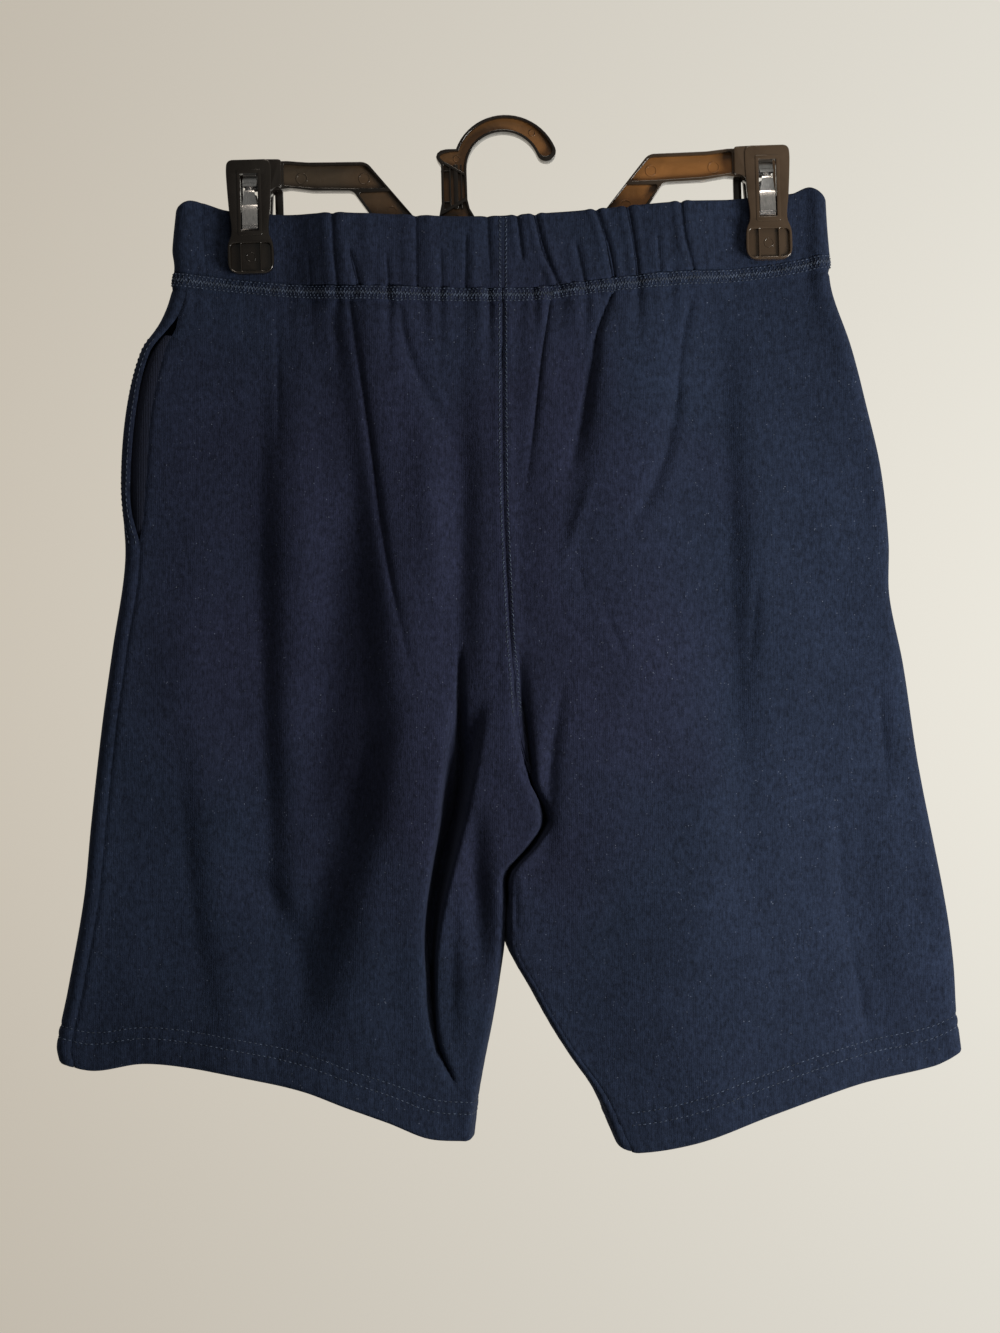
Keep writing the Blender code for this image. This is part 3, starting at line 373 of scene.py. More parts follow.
def fold_middle(fold, z):
    """The x of a fold's bottom at each height."""
    top, end, *route = fold[1:-5]
    share = (top - z) / (top - end)
    return curve([(step / (len(route) - 1), x) for step, x in enumerate(route)], share)


def fold_depth(layer, x, z):
    """How far the folds push the cloth into the shorts at each place."""
    cloth = bpy.context.scene.shorts_cloth
    depth = np.zeros_like(x)
    for fold in FOLDS:
        name, top, end = fold[:3]
        wide, narrow, amount, peak, bite = fold[-5:]
        here = (z < top) & (z > end)
        if name != layer or not here.any():
            continue
        share = (top - z[here]) / (top - end)
        strength = np.sin(math.pi * share ** (math.log(0.5) / math.log(peak))) ** 0.8
        offset = x[here] - fold_middle(fold, z[here])
        across = np.abs(offset) / mix(wide, narrow, share)
        if bite == LEANING:
            across = np.where(offset < 0, across / LEAN_REACH, across)
        if bite < 0:
            across = np.where(offset < 0, across * STEEP_REACH, across)
        soft = np.exp(-across * across)
        sharp = np.exp(-1.5 * across ** 1.15) if bite >= 0 else np.exp(-across ** 6)
        crisp = 0.0 if bite == LEANING else abs(bite)
        depth[here] += amount * strength * mix(soft, sharp, crisp)
    return depth * cloth.crease_strength


def rumple_height(layer, x, z):
    """Broad soft unevenness of hung fleece, and small gathers under the waist seam."""
    cloth = bpy.context.scene.shorts_cloth
    turn = 0.0 if layer == "back" else 1.7
    height = sum(rise * np.sin(along * x + down * z + turn * 2.0 + start
                               + 0.6 * np.sin(0.021 * z + turn))
                 for along, down, start, rise in RUMPLE)
    below = curve(WAIST_SEAM, x) - z
    gather = sum(rise * np.sin(along * x + start + turn + 0.9 * np.sin(0.05 * x))
                 for along, start, rise in GATHERS)
    return cloth.rumple * (height + 2.2 * gather * np.exp(-(below / 26.0) ** 2))


def full_depth(layer, z):
    """Greatest distance of one layer from the hanger's plane at a height."""
    return curve(LAYER_DEPTH, z, 1 if layer == "back" else 2)


def panel_depth(layer, x, z, u, leg, round_off, inner_fall, inner_depth):
    """Distance of one layer from the hanger's plane, a share u of the way across a section."""
    rise = smooth(u / 0.75)
    kept = mix(inner_depth, 1.0, smooth((1 - u) / inner_fall))
    fall = mix(1.0, kept, leg)
    crown = (full_depth(layer, z) - SIDE_ROLL) * rise * fall
    near_edge = smooth(np.minimum(u, 1.0 - leg * u) * 12 + 0.3)
    folds = (fold_depth(layer, x, z) - rumple_height(layer, x, z)) * near_edge
    open_depth = (SIDE_ROLL + crown - folds) * round_off
    pinch = clip_pinch(x, z) * smooth(u * 14)
    return mix(open_depth, PINCH_HALF_DEPTH, pinch)


def rolled(distance, radius):
    """How far inward a length of cloth reaches from the edge it turns round, and its turn."""
    angle = np.minimum(distance / radius, QUARTER)
    beyond = np.maximum(0.0, distance - radius * QUARTER)
    return radius * (1 - np.cos(angle)) + beyond, np.sin(angle)


def hidden_layer(layer):
    """The layer that lies behind this one."""
    return "front" if layer == "back" else "back"


class Side:
    """One half of the shorts: its silhouette, its seams and its hem."""

    def __init__(self, name, way, edge, inner, side_seam, inseam, hem_drop, inner_fall,
                 inner_depth, valley_top):
        self.name = name
        self.way = way                  # +1 where x grows from the side edge to the centre
        self.edge = edge
        self.inner = inner
        self.side_seam = side_seam
        self.inseam = inseam
        self.hem_drop = hem_drop
        self.inner_fall = inner_fall    # share of a section that falls towards the inner edge
        self.inner_depth = inner_depth  # share of the depth kept beside the inner edge
        self.valley_top = valley_top    # where the valley between the legs begins
        self.z_hem_side = edge[-1][0]
        self.z_hem_inner = inner[-1][0]
        self.z_waist_side = float(curve(WAIST_SEAM, edge[2][1]))
        self.z_waist_inner = float(curve(WAIST_SEAM, CENTRE_FRONT_X))

    def legness(self, z):
        """0 above the valley between the legs, 1 where this leg is a tube of its own."""
        return smooth((self.valley_top - z) / (self.valley_top - CROTCH_Z))

    def inner_x(self, layer, z):
        """Middle of the wall at the centre seam, or at the leg's inner edge."""
        seam = curve(CENTRE_BACK, z) if layer == "back" else np.full_like(z, CENTRE_FRONT_X)
        line = np.where(z <= CROTCH_Z, curve(self.inner, z), seam)
        apart = SEAM_GAP / 2 + (FLEECE_WALL / 2 + 0.05) * np.minimum(1.0, 2.2 * self.legness(z))
        return line - self.way * apart

    def edge_x(self, z, wall=PANEL_EDGE_WALL):
        """Middle of the wall at the side silhouette."""
        return curve(self.edge, z) + self.way * wall / 2

    def row(self, layer, v):
        """Sections: heights and places of their two ends, their legness and cloth length."""
        z_side = mix(self.z_waist_side, self.z_hem_side, v)
        upper = mix(self.z_waist_inner, CROTCH_Z, v / CROTCH_ROW)
        lower = mix(CROTCH_Z, self.z_hem_inner, (v - CROTCH_ROW) / (1 - CROTCH_ROW))
        z_inner = np.where(v <= CROTCH_ROW, upper, lower)
        x_side = self.edge_x(z_side)
        x_inner = self.inner_x(layer, z_inner)
        leg = self.legness(z_inner)
        turns = (QUARTER - 1) * (SIDE_ROLL + leg * INNER_ROLL)
        return z_side, z_inner, x_side, x_inner, leg, np.abs(x_inner - x_side) + turns

    def drop(self, u, v, x):
        """Fall of a section below its own straight line."""
        line = mix(self.z_waist_side, self.z_waist_inner, u)
        waist = curve(WAIST_SEAM, x) - line
        return waist * (1 - smooth(v / 0.3)) - curve(self.hem_drop, u) * v**3

    def on_layer(self, a, v, layer):
        """Middle of the wall at a and v, between the two edges of one layer."""
        z_side, z_inner, x_side, x_inner, leg, length = self.row(layer, v)
        from_side, side_turn = rolled(np.maximum(a, 0.0), SIDE_ROLL)
        from_inner, inner_turn = rolled(np.maximum(length - a, 0.0), INNER_ROLL)
        near_side = x_side + self.way * from_side
        near_inner = x_inner - self.way * mix(length - a, from_inner, leg)
        x = np.where(a < length / 2, near_side, near_inner)
        u = np.minimum(1.0, np.abs((x - x_side) / (x_inner - x_side)))
        z = mix(z_side, z_inner, u) + self.drop(u, v, x)
        round_off = side_turn * mix(1.0, inner_turn, leg)
        depth = panel_depth(layer, x, z, u, leg, round_off, self.inner_fall, self.inner_depth)
        near_end = smooth(1.0 - (length - a) / 16.0)
        lap = LAP * np.tanh(depth / 3.0) * bell(z - LAP_Z, LAP_REACH) * near_end
        return np.stack([x + lap, -depth, z] if layer == "back" else [x - lap, depth, z], axis=-1)

    def point(self, a, v, layer="back"):
        """Middle of the wall at a and v; past either edge it lies on the other layer."""
        a, v = np.broadcast_arrays(np.asarray(a, float), np.asarray(v, float))
        other = hidden_layer(layer)
        length, other_length = self.row(layer, v)[5], self.row(other, v)[5]
        over = np.where(a < 0, -a, other_length - (a - length))
        beyond = (a < 0) | (a > length)
        place = self.on_layer(np.clip(a, 0.0, length), v, layer)
        if beyond.any():
            place[beyond] = self.on_layer(over[beyond], v[beyond], other)
        return place

    def outward(self, a, v, layer="back"):
        """Direction out of the shorts, square to the cloth."""
        along = self.point(a + 0.4, v, layer) - self.point(a - 0.4, v, layer)
        down = self.point(a, v + 0.0015, layer) - self.point(a, v - 0.0015, layer)
        normal = np.cross(along, down) * (-self.way if layer == "back" else self.way)
        return normal / np.maximum(np.linalg.norm(normal, axis=-1, keepdims=True), 1e-9)

    def fall(self, a, v, layer):
        """Millimetres of cloth down the panel for each unit of v."""
        length = self.row(layer, v)[5]
        inner = np.where(np.asarray(v) <= CROTCH_ROW, (self.z_waist_inner - CROTCH_Z) / CROTCH_ROW,
                         (CROTCH_Z - self.z_hem_inner) / (1 - CROTCH_ROW))
        share = np.clip(a / length, 0.0, 1.0)
        return mix(self.z_waist_side - self.z_hem_side, inner, share)


LEFT = Side("left", 1, LEFT_EDGE, LEFT_INNER, LEFT_SIDE_SEAM, LEFT_INSEAM, LEFT_HEM_DROP,
            inner_fall=0.3, inner_depth=0.7, valley_top=-340.0)
RIGHT = Side("right", -1, RIGHT_EDGE, RIGHT_INNER, RIGHT_SIDE_SEAM, RIGHT_INSEAM, RIGHT_HEM_DROP,
             inner_fall=0.45, inner_depth=0.8, valley_top=-322.0)
SIDES = (LEFT, RIGHT)
LAYERS = ("back", "front")


def panel_ends(side, layer, v):
    """Where a panel's cloth starts, at the side seam, and ends, at the centre seam or inseam."""
    z_side, z_inner, _, _, _, length = side.row(layer, v)
    inseam = curve(side.inseam, z_inner)
    if layer == "back":
        return curve(side.side_seam, z_side, 2), length - inseam - SEAM_GAP / 2
    return -curve(side.side_seam, z_side, 1), length + inseam - SEAM_GAP / 2


def relief(side, layer, a, v):
    """How far the sewn work lifts or sinks the cloth: waist band, seams and hem."""
    stitch = bpy.context.scene.shorts_stitches
    start, end = panel_ends(side, layer, v)
    fall = side.fall(a, v, layer)
    below_waist, above_hem = v * fall, (1 - v) * fall
    band_height = stitch.band_height / MM
    band = smooth((band_height + 1.0 - below_waist) / 1.2)
    pucker = np.sin(a * 0.83 + 1.7 * np.sin(a * 0.13))
    lift = 0.75 * band - (0.55 + 0.25 * pucker) * bell(below_waist - band_height - 1.6, 1.5)
    lift += 0.16 * pucker * band
    for row in (stitch.hem_depth / MM, (stitch.hem_depth - stitch.hem_row_gap) / MM):
        uneven = 1 + 0.35 * np.sin(a * 0.78 + row)
        lift -= stitch.groove / MM * bell(above_hem - row, 1.1) * uneven
    lift += 0.35 * smooth((stitch.hem_depth / MM - above_hem) / 2.0)
    lift += 0.16 * np.sin(a * 0.74 + 1.3 * np.sin(a * 0.11)) * bell(above_hem - 12.0, 9.0)
    above_legs = smooth((CROTCH_ROW - 0.13 - v) / 0.04)
    centre = end - a
    lift += above_legs * (0.5 * bell(centre - 3.0, 2.6) - 0.75 * bell(centre, 0.8))
    lift -= (1 - above_legs) * 0.5 * bell(centre, 1.0)
    lift -= 0.6 * bell(a - start, 1.1) - 0.22 * bell(a - start - 3.0, 2.2)
    lift += 0.10 * np.sin(v * fall * 0.83) * bell(centre, 6.0)
    return lift


def skin(side, layer, a, v, out=0.0):
    """Places on a panel, an amount out from the middle of its wall."""
    a, v = np.broadcast_arrays(np.asarray(a, float), np.asarray(v, float))
    shift = relief(side, layer, a, v) + out
    return side.point(a, v, layer) + side.outward(a, v, layer) * shift[..., None]


# ------------------------------ meshes
def quads(rows, across, wrap_across=False, wrap_rows=False):
    """Faces of a grid of points, numbered row by row."""
    index = np.arange(rows * across).reshape(rows, across)
    if wrap_across:
        index = np.hstack([index, index[:, :1]])
    if wrap_rows:
        index = np.vstack([index, index[:1]])
    corners = (index[:-1, :-1], index[:-1, 1:], index[1:, 1:], index[1:, :-1])
    return np.stack(corners, axis=-1).reshape(-1, 4)


def mesh_of(name, points, faces):
    """A smooth mesh from points in millimetres."""
    mesh = bpy.data.meshes.new(name)
    mesh.from_pydata((np.reshape(points, (-1, 3)) * MM).tolist(), [], np.asarray(faces).tolist())
    mesh.shade_smooth()
    return mesh


def spread(count, start, end, crowds):
    """Places from start to end, closer together near each (place, reach, strength)."""
    fine = np.linspace(start, end, 500)
    density = 1.0 + sum(strength * bell(fine - place, reach) for place, reach, strength in crowds)
    passed = np.concatenate([[0.0], np.cumsum((density[1:] + density[:-1]) / 2)])
    return np.interp(np.linspace(0.0, passed[-1], count), passed, fine)


def add_piece(name, mesh, material, *nodes):
    """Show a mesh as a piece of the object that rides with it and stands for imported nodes."""
    item = bpy.data.objects.new(name, mesh)
    bpy.context.scene.collection.objects.link(item)
    if not mesh.materials:
        mesh.materials.append(material)
    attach(item, "root")
    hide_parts(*nodes)
    return item


def face_outward(mesh):
    """Turn every face of closed shells to the outside."""
    edit = bmesh.new()
    edit.from_mesh(mesh)
    bmesh.ops.recalc_face_normals(edit, faces=edit.faces)
    edit.to_mesh(mesh)
    edit.free()
    return mesh


def thickened(mesh, wall):
    """Give a sheet its wall, half to each side of its middle."""
    item = bpy.data.objects.new(mesh.name, mesh)
    bpy.context.scene.collection.objects.link(item)
    modifier = item.modifiers.new("wall", "SOLIDIFY")
    modifier.thickness = wall * MM
    modifier.offset = 0.0
    modifier.use_quality_normals = True
    bpy.context.view_layer.update()
    shown = item.evaluated_get(bpy.context.evaluated_depsgraph_get())
    walled = bpy.data.meshes.new_from_object(shown)
    name = mesh.name
    bpy.data.objects.remove(item)
    bpy.data.meshes.remove(mesh)
    walled.name = name
    walled.shade_smooth()
    walled.set_sharp_from_angle(angle=math.radians(62))
    return walled


def merged(name, meshes):
    """Several meshes in one, each keeping its materials."""
    edit = bmesh.new()
    slots = []
    for mesh in meshes:
        first = len(edit.faces)
        edit.from_mesh(mesh)
        edit.faces.ensure_lookup_table()
        for face in edit.faces[first:]:
            material = mesh.materials[face.material_index] if mesh.materials else None
            if material not in slots:
                slots.append(material)
            face.material_index = slots.index(material)
    whole = bpy.data.meshes.new(name)
    for material in slots:
        whole.materials.append(material)
    edit.to_mesh(whole)
    edit.free()
    for mesh in meshes:
        bpy.data.meshes.remove(mesh)
    return whole


# ------------------------------ thread
STITCH_TURNS = ((0.0, 0.45, 0.0), (0.3, 1.0, 0.8), (0.7, 1.0, 0.8), (1.0, 0.45, 0.0))


def stitches(starts, ends, normals, width, rise):
    """Points and faces of one short length of thread for each stitch, arched off the cloth."""
    run = ends - starts
    beside = np.cross(normals, run)
    beside /= np.maximum(np.linalg.norm(beside, axis=-1, keepdims=True), 1e-9)
    rings = []
    for share, girth, arch in STITCH_TURNS:
        middle = starts + run * share + normals * rise * arch
        reach = width / 2 * girth
        rings.append(np.stack([middle + beside * reach, middle + normals * reach * 0.8,
                               middle - beside * reach, middle - normals * reach * 0.8], axis=1))
    points = np.stack(rings, axis=1)
    sides = quads(len(STITCH_TURNS), 4, wrap_across=True)
    last = 4 * (len(STITCH_TURNS) - 1)
    caps = np.array([[3, 2, 1, 0], [last, last + 1, last + 2, last + 3]])
    one = np.vstack([sides, caps])
    each = 4 * len(STITCH_TURNS)
    faces = (one[None] + (np.arange(len(starts)) * each)[:, None, None]).reshape(-1, 4)
    return points.reshape(-1, 3), faces


def thread_piece(name, runs, material, node):
    """One piece from several runs of stitches, each (starts, ends, normals)."""
    stitch = bpy.context.scene.shorts_stitches
    points, faces, passed = [], [], 0
    for starts, ends, normals in runs:
        spots, sides = stitches(starts, ends, normals, stitch.thread / MM,
                                0.45 * stitch.thread / MM)
        points.append(spots)
        faces.append(sides + passed)
        passed += len(spots)
    mesh = mesh_of(name, np.vstack(points), np.vstack(faces))
    return add_piece(name, face_outward(mesh), material, node)


def along_seam(place_at, pitch):
    """Shares of a seam's run at an even pitch."""
    fine = np.linspace(0.0, 1.0, 500)
    steps = np.linalg.norm(np.diff(place_at(fine)[0], axis=0), axis=-1)
    passed = np.concatenate([[0.0], np.cumsum(steps)])
    count = max(2, int(passed[-1] / pitch))
    return np.interp(np.linspace(0.0, passed[-1], count + 1), passed, fine)


def straight_row(place_at, pitch, share=0.7):
    """A row of stitches that follow the seam, with a small gap between them."""
    marks = along_seam(place_at, pitch)
    starts, normals = place_at(marks[:-1])
    ends, _ = place_at(marks[:-1] + (marks[1:] - marks[:-1]) * share)
    return starts, ends, normals


def zigzag_row(low_at, high_at, pitch):
    """Thread that crosses back and forth between two rows."""
    marks = along_seam(low_at, pitch)
    half = (marks[:-1] + marks[1:]) / 2
    low, normals = low_at(marks)
    high, high_normals = high_at(half)
    starts = np.vstack([low[:-1], high])
    ends = np.vstack([high, low[1:]])
    return starts, ends, np.vstack([normals[:-1], high_normals])


def bar_row(low_at, high_at, pitch):
    """Short threads straight across, from one row to another."""
    marks = along_seam(low_at, pitch)
    starts, normals = low_at(marks)
    return starts, high_at(marks)[0], normals


# ------------------------------ the shorts' pieces
PANEL_ROWS = 152
BACK_COLUMNS = 236
FRONT_COLUMNS = 118
HEM_TURN = 1.03            # radius of the hem's fold, to the middle of the wall
HEM_BEND_STEPS = 4
CASING_COLUMNS = 660
CASING_ROWS = 22
BAG_ROWS = 64
BAG_COLUMNS = 22
BAG_TOP_ROW = 0.08         # the sections between which a bag lies
BAG_LOW_ROW = 0.53
BAG_CLEAR = 16.0           # a bag's reach is counted to here, from the panel's inner end
BAG_START = (23.0, 6.0)    # from the side seam to where a bag's reach is counted, left and right
BAG_REACH = 0.36           # share of the front panel's rest that a bag lies behind
# sizes as cut, in metres: the left and right bags, a panel's height from the waist seam to the
# hem, and its greatest width, left and right
BAG_CUTS = ((0.165, 0.20), (0.130, 0.20))
BACK_CUT = (0.272, 0.282)
FRONT_CUT = (0.272, 0.262)


def fold_place(side, v):
    """Where the deep fold lies along the back's cloth at one section."""
    z_side, z_inner, x_side, _, _, _ = side.row("back", v)
    fold_x = fold_middle(DEEP_FOLD, mix(z_side, z_inner, 0.87))
    return float(fold_x - x_side) + (QUARTER - 1) * SIDE_ROLL


def panel_columns(side, layer, v):
    """Places of a panel's columns at one section, close together where the form is tight."""
    start, end = (float(place) for place in panel_ends(side, layer, np.array(v)))
    crowds = [(start, 5.0, 1.2), (end, 7.0, 1.6)]
    if layer == "back" and side is LEFT:
        crowds.append((fold_place(side, np.array(v)), 12.0, 2.2))
    if layer == "back" and side is RIGHT:
        crowds.append((end - 18.0, 16.0, 1.0))
    return spread(BACK_COLUMNS if layer == "back" else FRONT_COLUMNS, start, end, crowds)


def panel_grid(side, layer):
    """Rows of points down a panel, round its hem's fold and up inside to the turned edge."""
    stitch = bpy.context.scene.shorts_stitches
    sections = spread(PANEL_ROWS, 0.0, 1.0, [(0.0, 0.02, 2.4), (0.965, 0.03, 1.6)])
    a = np.array([panel_columns(side, layer, v) for v in sections])
    fall = side.fall(a[-1], np.ones_like(a[-1]), layer)
    v = sections[:, None] * (1.0 - HEM_TURN / fall)[None]
    rows = [skin(side, layer, a, v)]
    last, bottom = a[-1], v[-1]
    inward = -side.outward(last, bottom, layer)
    edge = rows[0][-1]
    down = edge - skin(side, layer, last, bottom - 0.002)
    down /= np.linalg.norm(down, axis=-1, keepdims=True)
    for step in range(1, HEM_BEND_STEPS + 1):
        turn = math.pi * step / HEM_BEND_STEPS
        bent = edge + inward * HEM_TURN * (1 - math.cos(turn)) + down * HEM_TURN * math.sin(turn)
        rows.append(bent[None])
    for above in np.linspace(2.5, stitch.hem_depth / MM, 7):
        inner = side.point(last, 1.0 - above / fall, layer)
        inner -= side.outward(last, 1.0 - above / fall, layer) * 2 * HEM_TURN
        rows.append(inner[None])
    return np.vstack(rows)


def cloth_panel(side, layer):
    """One quarter of the shorts, with its hem turned up."""
    points = panel_grid(side, layer)
    if (side is LEFT) != (layer == "back"):
        points = points[:, ::-1]
    name = f"{layer}_{side.name}_cloth"
    mesh = thickened(mesh_of(name, points, quads(*points.shape[:2])), FLEECE_WALL)
    item = add_piece(name, mesh, fleece_knit(), f"{layer}_{side.name}_panel")
    width = (BACK_CUT if layer == "back" else FRONT_CUT)[SIDES.index(side)]
    panel_area(side, layer)
    return item


def panel_area(side, layer):
    """A panel's flat area as cut, in square metres, its turned hem with it."""
    v = np.linspace(0.0, 1.0, 60)
    start, end = panel_ends(side, layer, v)
    height = float(side.fall(np.array(60.0), np.array(0.5), layer)) * MM
    width = (end - start) * MM
    hem = bpy.context.scene.shorts_stitches.hem_depth
    return float(np.mean(width)) * height + float(width[-1]) * hem


def casing_point(layer, s, height, out=0.0):
    """Places on the casing, s along from its left end, from the seam (0) to the top edge (1)."""
    s, height = np.broadcast_arrays(np.asarray(s, float), np.asarray(height, float))
    level = mix(CASING_LOW_Z, CASING_HIGH_Z, height)
    left = LEFT.edge_x(level, CASING_WALL)
    right = RIGHT.edge_x(level, CASING_WALL)
    length = right - left + 2 * (QUARTER - 1) * SIDE_ROLL
    s = s * length
    step = np.minimum(s, length - s)
    inward, turn = rolled(np.maximum(step, 0.0), SIDE_ROLL)
    x = np.where(s < length / 2, left + inward, right - inward)
    half_span = (CASING_END_RIGHT - CASING_END_LEFT) / 2
    middle = (CASING_END_RIGHT + CASING_END_LEFT) / 2
    top = curve(CASING_TOP, x)
    z = mix(curve(WAIST_SEAM, x) + 0.1, top, height)
    u = np.clip(1 - np.abs(x - middle) / half_span, 0.0, 1.0)
    open_depth = SIDE_ROLL * turn + (full_depth(layer, z) - SIDE_ROLL) * smooth(u / 0.55)
    pinch = clip_pinch(x, z) * smooth(u * 14)
    depth = mix(open_depth, PINCH_HALF_DEPTH, pinch)
    sink = casing_creases(layer, x, height)
    free = (1 - 0.8 * pinch) * smooth(u * 20)
    press = (sink - casing_rumple(layer, x, height)) * free * np.sign(out + 0.001)
    depth = depth + out * turn - press
    z = z - 0.35 * sink * smooth((height - 0.8) / 0.2) * free
    x = x + np.where(s < length / 2, -1.0, 1.0) * out * np.sqrt(np.maximum(0.0, 1 - turn * turn))
    return np.stack([x, -depth if layer == "back" else depth, z], axis=-1)


def casing_creases(layer, x, height):
    """Depth of the crisp vertical creases where the elastic gathers the casing."""
    sink = np.zeros_like(x)
    for name, top_x, half_x, seam_x, low, high, width, depth in CASING_CREASES:
        if name == layer:
            line = curve([(0.0, seam_x), (0.5, half_x), (1.0, top_x)], height)
            span = smooth((height - low + 0.12) / 0.12) * smooth((high - height + 0.1) / 0.1)
            across = np.abs(x - line) / width
            trough = np.exp(-1.4 * across ** 1.3) - 0.3 * bell(across - 3.2, 1.6)
            sink += depth * span * trough
    return sink * bpy.context.scene.shorts_cloth.crease_strength


def casing_rumple(layer, x, height):
    """Small unevenness of the casing, stronger at the seam."""
    turn = 0.0 if layer == "back" else 2.0
    wave = sum(rise * np.sin(along * 0.8 * x + start + turn + 0.8 * np.sin(0.06 * x) + 0.5 * height)
               for along, start, rise in GATHERS)
    across = 0.12 * np.sin(height * 9.0 + 0.05 * x)
    return bpy.context.scene.shorts_cloth.rumple * (mix(0.9, 0.45, height) * wave + across)


def casing_out(layer, s, height, out):
    """Places on the casing's face with the direction out of it."""
    place = casing_point(layer, s, height, out)
    along = (casing_point(layer, s + 0.001, height, out)
             - casing_point(layer, s - 0.001, height, out))
    up = casing_point(layer, s, height + 0.01, out) - casing_point(layer, s, height - 0.01, out)
    normal = np.cross(along, up) * (1 if layer == "back" else -1)
    return place, normal / np.linalg.norm(normal, axis=-1, keepdims=True)


def waistband():
    """The elastic casing: a closed ring with its outer face, rounded top and inner face."""
    half = CASING_WALL / 2
    round_off = half / CASING_HEIGHT
    heights = list(np.linspace(0.0, 1.0 - round_off, CASING_ROWS))
    profile = [(height, half) for height in heights]
    for step in range(1, 6):
        turn = math.pi * step / 6
        profile.append((1.0 - round_off + round_off * math.sin(turn), half * math.cos(turn)))
    profile += [(height, -half) for height in heights[::-2]]
    s = spread(CASING_COLUMNS, 0.0, 1.0, [(0.0, 0.03, 1.5), (1.0, 0.03, 1.5)])
    rows = []
    for height, out in profile:
        back = casing_point("back", s, height, out)
        front = casing_point("front", s[1:-1], height, out)[::-1]
        rows.append(np.vstack([back, front]))
    points = np.stack(rows)
    faces = quads(*points.shape[:2], wrap_across=True, wrap_rows=True)
    mesh = face_outward(mesh_of("waistband_cloth", points, faces))
    item = add_piece("waistband_cloth", mesh, fleece_knit(), "waistband")
    return item


def pocket_bag(side):
    """Facing that shows in the pocket's mouth, and the bag that hangs behind the front panel."""
    rows = []
    for v in np.linspace(BAG_TOP_ROW, BAG_LOW_ROW, BAG_ROWS):
        row = np.array(v)
        z_side = side.row("front", row)[0]
        edge, seam = (float(curve(side.side_seam, z_side, column)) for column in (1, 2))
        shut = 1.0 - float(smooth((seam - edge - 0.6) / 4.0))
        start, end = (float(place) for place in panel_ends(side, "front", row))
        first = seam - 0.3
        low = start + BAG_START[SIDES.index(side)]
        far = low + BAG_REACH * (end - BAG_CLEAR - low)
        behind = np.linspace(start + 1.0, far, BAG_COLUMNS)
        route = [(first, BAG_INNER * shut),
                 (mix(-behind[0], first, 0.55), mix(0.3, BAG_INNER, shut))]
        route += [(-place, BAG_INNER) for place in behind]
        route += [(-far - 1.0, (BAG_INNER + BAG_OUTER) / 2)]
        route += [(-place, BAG_OUTER) for place in behind[:2:-1]]
        a, inset = np.array(route).T
        sections = np.full_like(a, v)
        rows.append(side.point(a, sections) - side.outward(a, sections) * inset[:, None])
    points = np.stack(rows)
    if side is LEFT:
        points = points[:, ::-1]
    name = f"{side.name}_pocket_cloth"
    mesh = thickened(mesh_of(name, points, quads(*points.shape[:2])), BAG_WALL)
    item = add_piece(name, mesh, bag_knit(), f"{side.name}_pocket_bag")
    BAG_CUTS[SIDES.index(side)]
    return item


# ------------------------------ the shorts' stitches
DOT_SHARE = 0.62           # share of its pitch that a stitch of the cover seam covers
ROW_SHARE = 0.66           # and one of a hem's or a pocket's row
# shares of the waist seam's height: the bars' outer ends, and the zigzag's sides between them
LACE_ROWS = (0.2, 0.36, 0.66, 0.82)
BACK_SEAM_END = 0.502      # share of the sections where the centre rows end
FRONT_SEAM_END = 0.66
MOUTH_TOP_ROW = 0.085      # the sections between which a pocket's mouth is stitched
MOUTH_LOW_ROW = 0.345
MOUTH_ROW_INSET = 1.6      # from the mouth's edge to the first of its two rows


def panel_line(side, layer, a_at, v_at):
    """A seam line on a panel, as a function from its share to places and directions out."""
    lift = FLEECE_WALL / 2 + 0.1 * bpy.context.scene.shorts_stitches.thread / MM

    def place_at(share):
        a, v = a_at(share), v_at(share)
        return skin(side, layer, a, v, lift), side.outward(a, v, layer)
    return place_at


def level_line(side, layer, distance, from_hem=False, inset=0.0):
    """A line across a panel at a distance from its waist seam or its hem."""
    row = np.array(1.0 if from_hem else 0.0)
    start, end = (float(place) for place in panel_ends(side, layer, row))

    def a_at(share):
        return mix(start + inset, end - inset, share)

    def v_at(share):
        near = np.full_like(share, float(row))
        offset = distance / side.fall(a_at(share), near, layer)
        return near - offset if from_hem else near + offset
    return panel_line(side, layer, a_at, v_at)


def centre_line(side, layer, beside, v_low):
    """A line down a panel beside the centre seam."""
    def v_at(share):
        return mix(0.018, v_low, share)

    def a_at(share):
        return panel_ends(side, layer, v_at(share))[1] - beside
    return panel_line(side, layer, a_at, v_at)


def casing_centre_line(layer, beside):
    """A line up the casing beside the centre seam."""
    def place_at(share):
        height = mix(0.02, 0.965, share)
        level = mix(CASING_LOW_Z, CASING_HIGH_Z, height)
        left, right = (side.edge_x(level, CASING_WALL) for side in SIDES)
        turns = (QUARTER - 1) * SIDE_ROLL
        s = (CENTRE_FRONT_X + beside - left + turns) / (right - left + 2 * turns)
        return casing_out(layer, s, height, CASING_WALL / 2 + 0.05)
    return place_at


